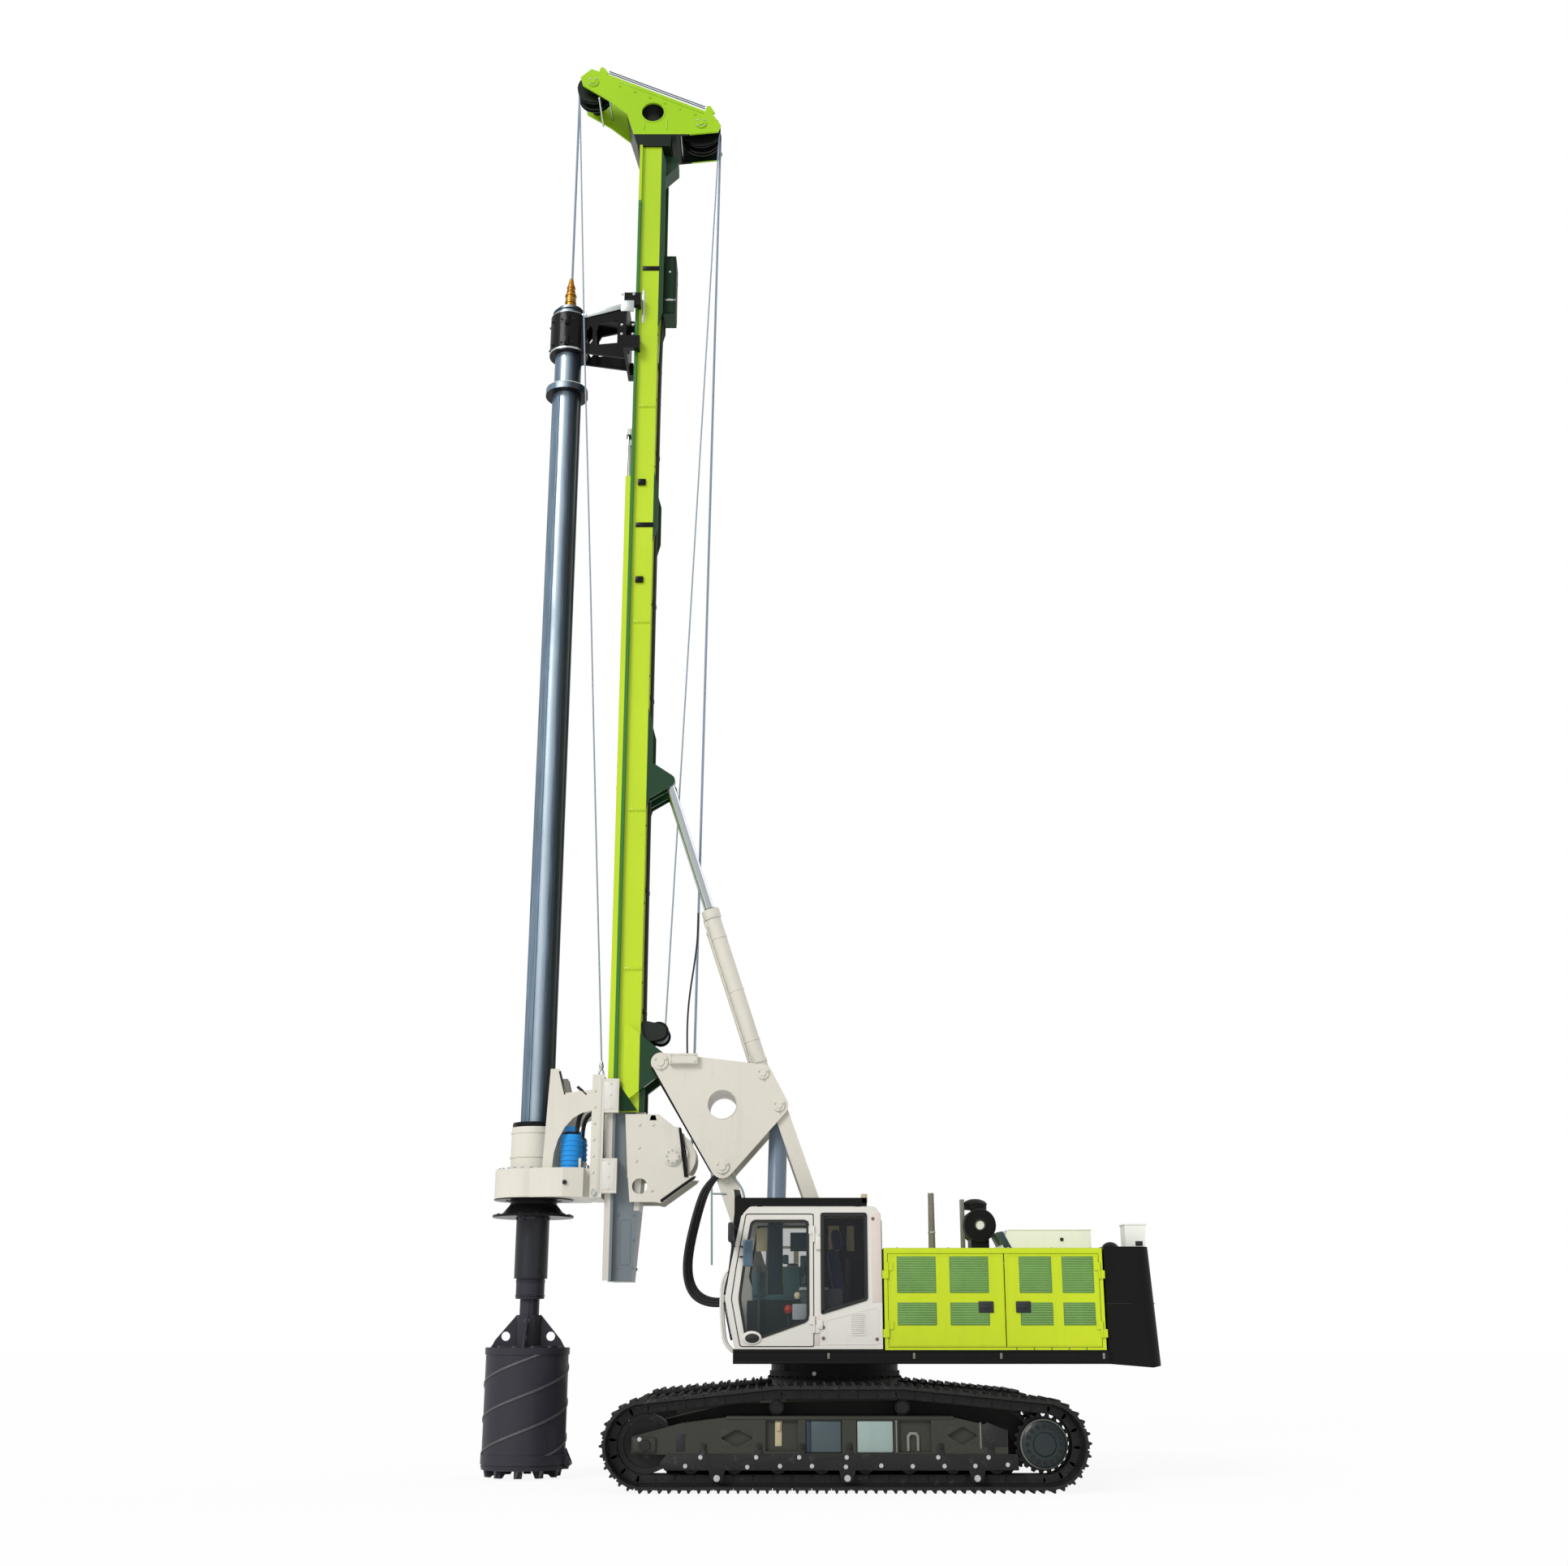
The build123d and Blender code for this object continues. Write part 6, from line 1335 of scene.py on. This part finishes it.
def kelly_rings(name, body, material, *rings, sides=48):
    """Rings round the kelly bar, from rows of inner radius, outer radius, height and foot."""
    turned(name, body, material, [(hoop(*size), (kelly_x, 0, foot), up) for *size, foot in rings], sides=sides)


kelly_rings("guide_silver_hoops", guide, silver, (0.24, 0.272, 0.01, 15.8), (0.268, 0.276, 0.03, 15.2), sides=32)
plates("guide_arm_strips", guide, silver, [([(2.9, 15.9), (3.5, 15.73), (3.55, 15.78), (3.55, 15.797), (2.9, 15.985)],
    0.192, 0.204)], 0.002, True)
blocks("guide_end_boxes", guide, silver, [((2.77, 2.96), (0.47, 0.492), (15.66, 15.84))], 0.01, True)


def outward(places):
    """The same places, with each bolt turned away from the kelly bar."""
    return [(point, (point.x - kelly_x, point.y, 0)) for point, _ in places]


bolts("guide_clamp_bolts", guide, roller_steel, 0.014, 0.016, outward(round_bar(10, 0.272, 15.3)
    + round_bar(10, 0.272, 15.68)))
blocks("guide_clamp_lugs", guide, black_ring, [((kelly_x - 0.03, kelly_x + 0.03), (y0, y0 + 0.05), (z, z + 0.16))
    for y0 in (0.255, -0.305) for z in (15.24, 15.58)], 0.008)
bolts("guide_shoe_bolts", guide, bright, 0.013, 0.014, [((x, 0.47, z), left) for x in (2.78, 2.94)
    for z in (15.3, 15.45, 15.95)], True)

# Kelly bar
kelly_rings("kelly_collar_bands", "kelly_outer", black_ring, (0.236, 0.247, 0.025, 15.865),
    (0.202, 0.302, 0.008, 14.541))
kelly_rings("thrust_ring_rim", "kelly_outer", ivory, (0.2, 0.296, 0.01, 14.648))
kelly_rings("swivel_bands", bucket, bronze, (0.07, 0.085, 0.02, 15.93), (0.07, 0.085, 0.02, 16.08),
    (0.07, 0.085, 0.02, 16.2), (0.05, 0.064, 0.015, 16.28), (0.05, 0.064, 0.015, 16.34), sides=32)
bolts("swivel_screws", bucket, bright, 0.008, 0.008, outward(round_bar(6, 0.075, 16.14)))
kelly_rings("kelly_neck_rings", bucket, kelly_steel, (0.17, 0.181, 0.03, 2.08), (0.17, 0.181, 0.03, 2.25), sides=32)

# Rotary drive
kelly_rings("gear_case_rings", drive, warm_grey, (0.3, 0.32, 0.03, 3.75), (0.3, 0.32, 0.03, 4.05),
    (0.3, 0.345, 0.02, 3.6), sides=64)
case_bolts = [place for place in round_bar(28, 0.452, 3.6) if place[0].x > 3.42]
bolts("gear_case_bolts", drive, bright, 0.016, 0.02, case_bolts)
collar_bolts = round_bar(16, 0.33, 3.62)
bolts("collar_bolts", drive, bright, 0.012, 0.014, collar_bolts)
kelly_rings("gear_case_under_ring", drive, black_ring, (0.35, 0.494, 0.015, 3.237), sides=64)
kelly_rings("sleeve_bands", "drive_sleeve", black_ring, (0.494, 0.504, 0.02, 3.035), (0.296, 0.304, 0.02, 4.15))
bolts("sleeve_bolts", "drive_sleeve", roller_steel, 0.014, 0.016, round_bar(14, 0.45, 3.06))
motor = (3.27, 0.29)
motor_rows = [(hoop(0.126, 0.14, 0.022), (*motor, z), up) for z in (3.64, 3.7, 3.76, 3.82, 3.88, 3.94)]
turned("motor_ribs", drive, motor_blue, motor_rows, True)
turned("motor_caps", drive, black_ring, [([(0, 0), (0.122, 0), (0.122, 0.03), (0.1, 0.05), (0.05, 0.055),
    (0.04, 0.09), (0, 0.09)], (*motor, 4.0), up)], True)
bolts("motor_foot_bolts", drive, bright, 0.012, 0.016, round_row(8, 0.155, (*motor, 3.6), up, 0.5), True)
lines("motor_hoses", [[(3.2, side * y, 4.05), (3.2, side * y, 4.25), (3.1, side * (y - 0.02), 4.42),
    (2.99, side * (y - 0.04), 4.3), (2.93, side * (y - 0.05), 4.1)] for side in both for y in (0.25, 0.31, 0.36)],
    0.02, drive, hose_black, 4)
bars("sled_stays", drive, plastic, [((3.43, 0.46, 4.79), (3.352, 0.46, 4.5), 0.018),
    ((3.2, 0.46, 4.6), (3.08, 0.46, 4.5), 0.018)], True)
turned("grease_knob", drive, silver, [(cap(0.032, 0.03), (2.954, 0.474, 3.3), left)], True)
blocks("sled_side_strips", drive, slate, [((2.888, 2.929), (0.474, 0.48), (3.3, 4.7))], 0.002, True)
sled_bolts = [((2.975, 0.475, 3.35 + 0.2 * i), left) for i in range(7)]
bolts("sled_bolts", drive, warm_grey, 0.014, 0.014, sled_bolts, True)
shoe_bolts_drive = [((2.78, 0.47, z), left) for z in (3.36, 3.5, 3.66, 4.34, 4.5, 4.64)]
bolts("sled_shoe_bolts", drive, cab_grey, 0.013, 0.014, shoe_bolts_drive, True)
blocks("shoe_pads", drive, cab_grey,
    [((2.7, 2.86), (0.469, 0.474), (z, z + 0.34)) for z in (3.34, 4.32)], 0.002, True)
blocks("gear_case_ribs", drive, warm_grey, [((3.12, 3.15), (y, y + 0.03), (3.6, 3.72))
    for y in (-0.5, -0.12, 0.09, 0.47)], 0.006)
turned("gear_case_plugs", drive, roller_steel, [(cap(0.028, 0.02), (3.3, 0.6, 3.42), left)], True)

# Winch
winch_x, winch_z = 2.0, 3.75
winch_strips = [([(1.9, 4.1), (1.93, 4.1), (1.85, 3.5), (1.8, 3.5)], 0.37, 0.384),
    ([(1.7, 3.515), (1.72, 3.48), (2.13, 3.19), (2.14, 3.225), (1.75, 3.5)], 0.37, 0.386)]
winch_cheek = [(2.0, 4.12), (1.9, 4.105), (1.8, 3.52), (1.705, 3.512), (1.722, 3.475), (2.13, 3.185), (2.19, 3.196),
    (2.1, 3.34), (1.86, 3.57), (1.83, 3.81)]
plates("winch_cheeks", mast, warm_grey, [(winch_cheek, 0.344, 0.3705)], 0.0, True)
plates("winch_black_strips", mast, black_ring, winch_strips, 0.0, True)
turned("winch_bosses", mast, warm_grey, [(cap(0.09, 0.02), (winch_x, 0.394, winch_z), left)], True)
boss_bolts = round_row(8, 0.072, (winch_x, 0.414, winch_z), left)
bolts("winch_boss_bolts", mast, bright, 0.01, 0.012, boss_bolts, True)
turned("winch_brake", mast, black_ring, [([(0, 0), (0.15, 0), (0.15, 0.06), (0.12, 0.09), (0.1, 0.17), (0.07, 0.18),
    (0, 0.18)], (winch_x, -0.394, winch_z), (0, -1, 0))])
bolts("winch_plate_bolts", mast, warm_grey, 0.014, 0.014, [((x, 0.37, z), left)
    for x, z in ((2.25, 4.14), (2.42, 4.14), (2.42, 3.86), (2.25, 3.34), (2.45, 3.7))], True)
plates("winch_eye", mast, black_ring,
    [([(2.2, 4.19), (2.3, 4.19), (2.28, 4.26), (2.22, 4.26)], 0.34, 0.37)], 0.004, True)

# Drilling bucket
ribs = bmesh.new()
for start in range(3):
    first = 2 * math.pi * start / 3
    band = [ribs.verts.new((kelly_x + r * math.cos(first), r * math.sin(first), 0.22 + z))
        for r, z in ((0.498, 0), (0.511, 0.003), (0.511, 0.03), (0.498, 0.033))]
    edges = [ribs.edges.new(pair) for pair in zip(band, band[1:] + band[:1])]
    bmesh.ops.spin(ribs, geom=band + edges, cent=(kelly_x, 0, 0), axis=(0, 0, 1), dvec=(0, 0, 1.2 / 96),
        angle=2 * math.pi, steps=96)
bmesh.ops.recalc_face_normals(ribs, faces=ribs.faces)
finished("bucket_ribs", ribs, bucket, tooth_steel)
tooth = bmesh.new()
bmesh.ops.create_cube(tooth, size=1, matrix=Matrix.Diagonal((0.09, 0.05, 0.1, 1)))
for corner in tooth.verts:
    if corner.co.z < 0:
        corner.co.x *= 0.55
        corner.co.y = -0.02 + corner.co.y * 0.3
bmesh.ops.bevel(tooth, geom=tooth.edges[:], offset=0.004, affect="EDGES", segments=1, profile=0.5, material=-1)
tips = bmesh.new()
places = []
for i in range(10):
    angle = math.radians(18 + 36 * i)
    turn = Matrix.Rotation(angle, 4, "Z") @ Matrix.Translation((0.43, 0, 0.068))
    places.append(Matrix.Translation((kelly_x, 0, 0)) @ turn)
stamp(tips, tooth, places)
finished("tooth_tips", tips, "bucket_door", tooth_steel)
kelly_rings("bucket_rims", bucket, tool_grey, (0.49, 0.512, 0.03, 1.46), (0.3, 0.34, 0.02, 1.49), sides=64)
bolts("bucket_lid_bolts", bucket, tooth_steel, 0.018, 0.02, round_bar(12, 0.43, 1.49, 0.5))
bars("bucket_bracket_pin", bucket, tooth_steel, [((kelly_x, -0.17, 1.8), (kelly_x, 0.17, 1.8), 0.035)], sides=24)
kelly_rings("bucket_door_rim", "bucket_door", tool_grey, (0.485, 0.506, 0.02, 0.13), sides=64)


# Camera, light and floor


photo_width = 1932
focal_length = 2178
tilt_up = 17.3


def camera():
    """Camera fitted to the photo; its width and focal length are in photo pixels."""
    lens = bpy.data.cameras.new("camera")
    lens.sensor_width = 36
    lens.lens = focal_length / photo_width * lens.sensor_width
    lens.clip_end = 200
    eye = bpy.data.objects.new("camera", lens)
    eye.location = (0.616 + slew_x, 22.7, 1.65)
    eye.rotation_euler = (math.radians(90 + tilt_up), 0, math.pi)
    bpy.context.scene.collection.objects.link(eye)
    bpy.context.scene.camera = eye


def studio():
    """Even sky that shows white, one broad key lamp from the front left and a weaker fill lamp."""
    scene = bpy.context.scene
    scene.view_settings.view_transform = "Standard"
    world = bpy.data.worlds.new("studio")
    scene.world = world
    world.use_nodes = True
    tree = world.node_tree
    sky = tree.nodes["Background"]
    sky.inputs["Color"].default_value = (1, 1, 1, 1)
    path = tree.nodes.new("ShaderNodeLightPath")
    seen = tree.nodes.new("ShaderNodeMath")
    seen.operation = "MAXIMUM"
    tree.links.new(path.outputs["Is Camera Ray"], seen.inputs[0])
    tree.links.new(path.outputs["Is Transmission Ray"], seen.inputs[1])
    level = tree.nodes.new("ShaderNodeMapRange")
    level.inputs["To Min"].default_value = 0.62
    level.inputs["To Max"].default_value = 1.0
    tree.links.new(seen.outputs[0], level.inputs["Value"])
    tree.links.new(level.outputs[0], sky.inputs["Strength"])
    for name, strength, angle, aim in (("key", 1.9, 25, (0.55, 0.72, 0.62)), ("fill", 0.5, 50, (-0.7, -0.3, 0.7))):
        lamp = bpy.data.lights.new(name, "SUN")
        lamp.energy = strength
        lamp.angle = math.radians(angle)
        light = bpy.data.objects.new(name, lamp)
        light.matrix_world = facing((0, 0, 30), aim)
        scene.collection.objects.link(light)


def floor():
    """Pale ground that shows nearly white and keeps the rig's shadow."""
    bm = bmesh.new()
    bmesh.ops.create_grid(bm, x_segments=1, y_segments=1, size=150)
    mesh = bpy.data.meshes.new("floor")
    bm.to_mesh(mesh)
    bm.free()
    ground = bpy.data.objects.new("floor", mesh)
    bpy.context.scene.collection.objects.link(ground)
    finish = Finish("floor_white", Base_Color=(0.86, 0.86, 0.85, 1), Roughness=0.9)
    path = finish.node("ShaderNodeLightPath", {}, {}, "Is Camera Ray")
    glow = finish.node("ShaderNodeEmission", {}, {"Color": (1, 1, 1, 1), "Strength": 1.0})
    shown = finish.node("ShaderNodeMixShader", {},
        {0: path * 0.9, 1: Wire(finish, finish.shader.outputs[0]), 2: glow})
    finish.join(finish.tree.nodes["Material Output"].inputs["Surface"], shown)
    mesh.materials.append(finish.material)


camera()
studio()
floor()
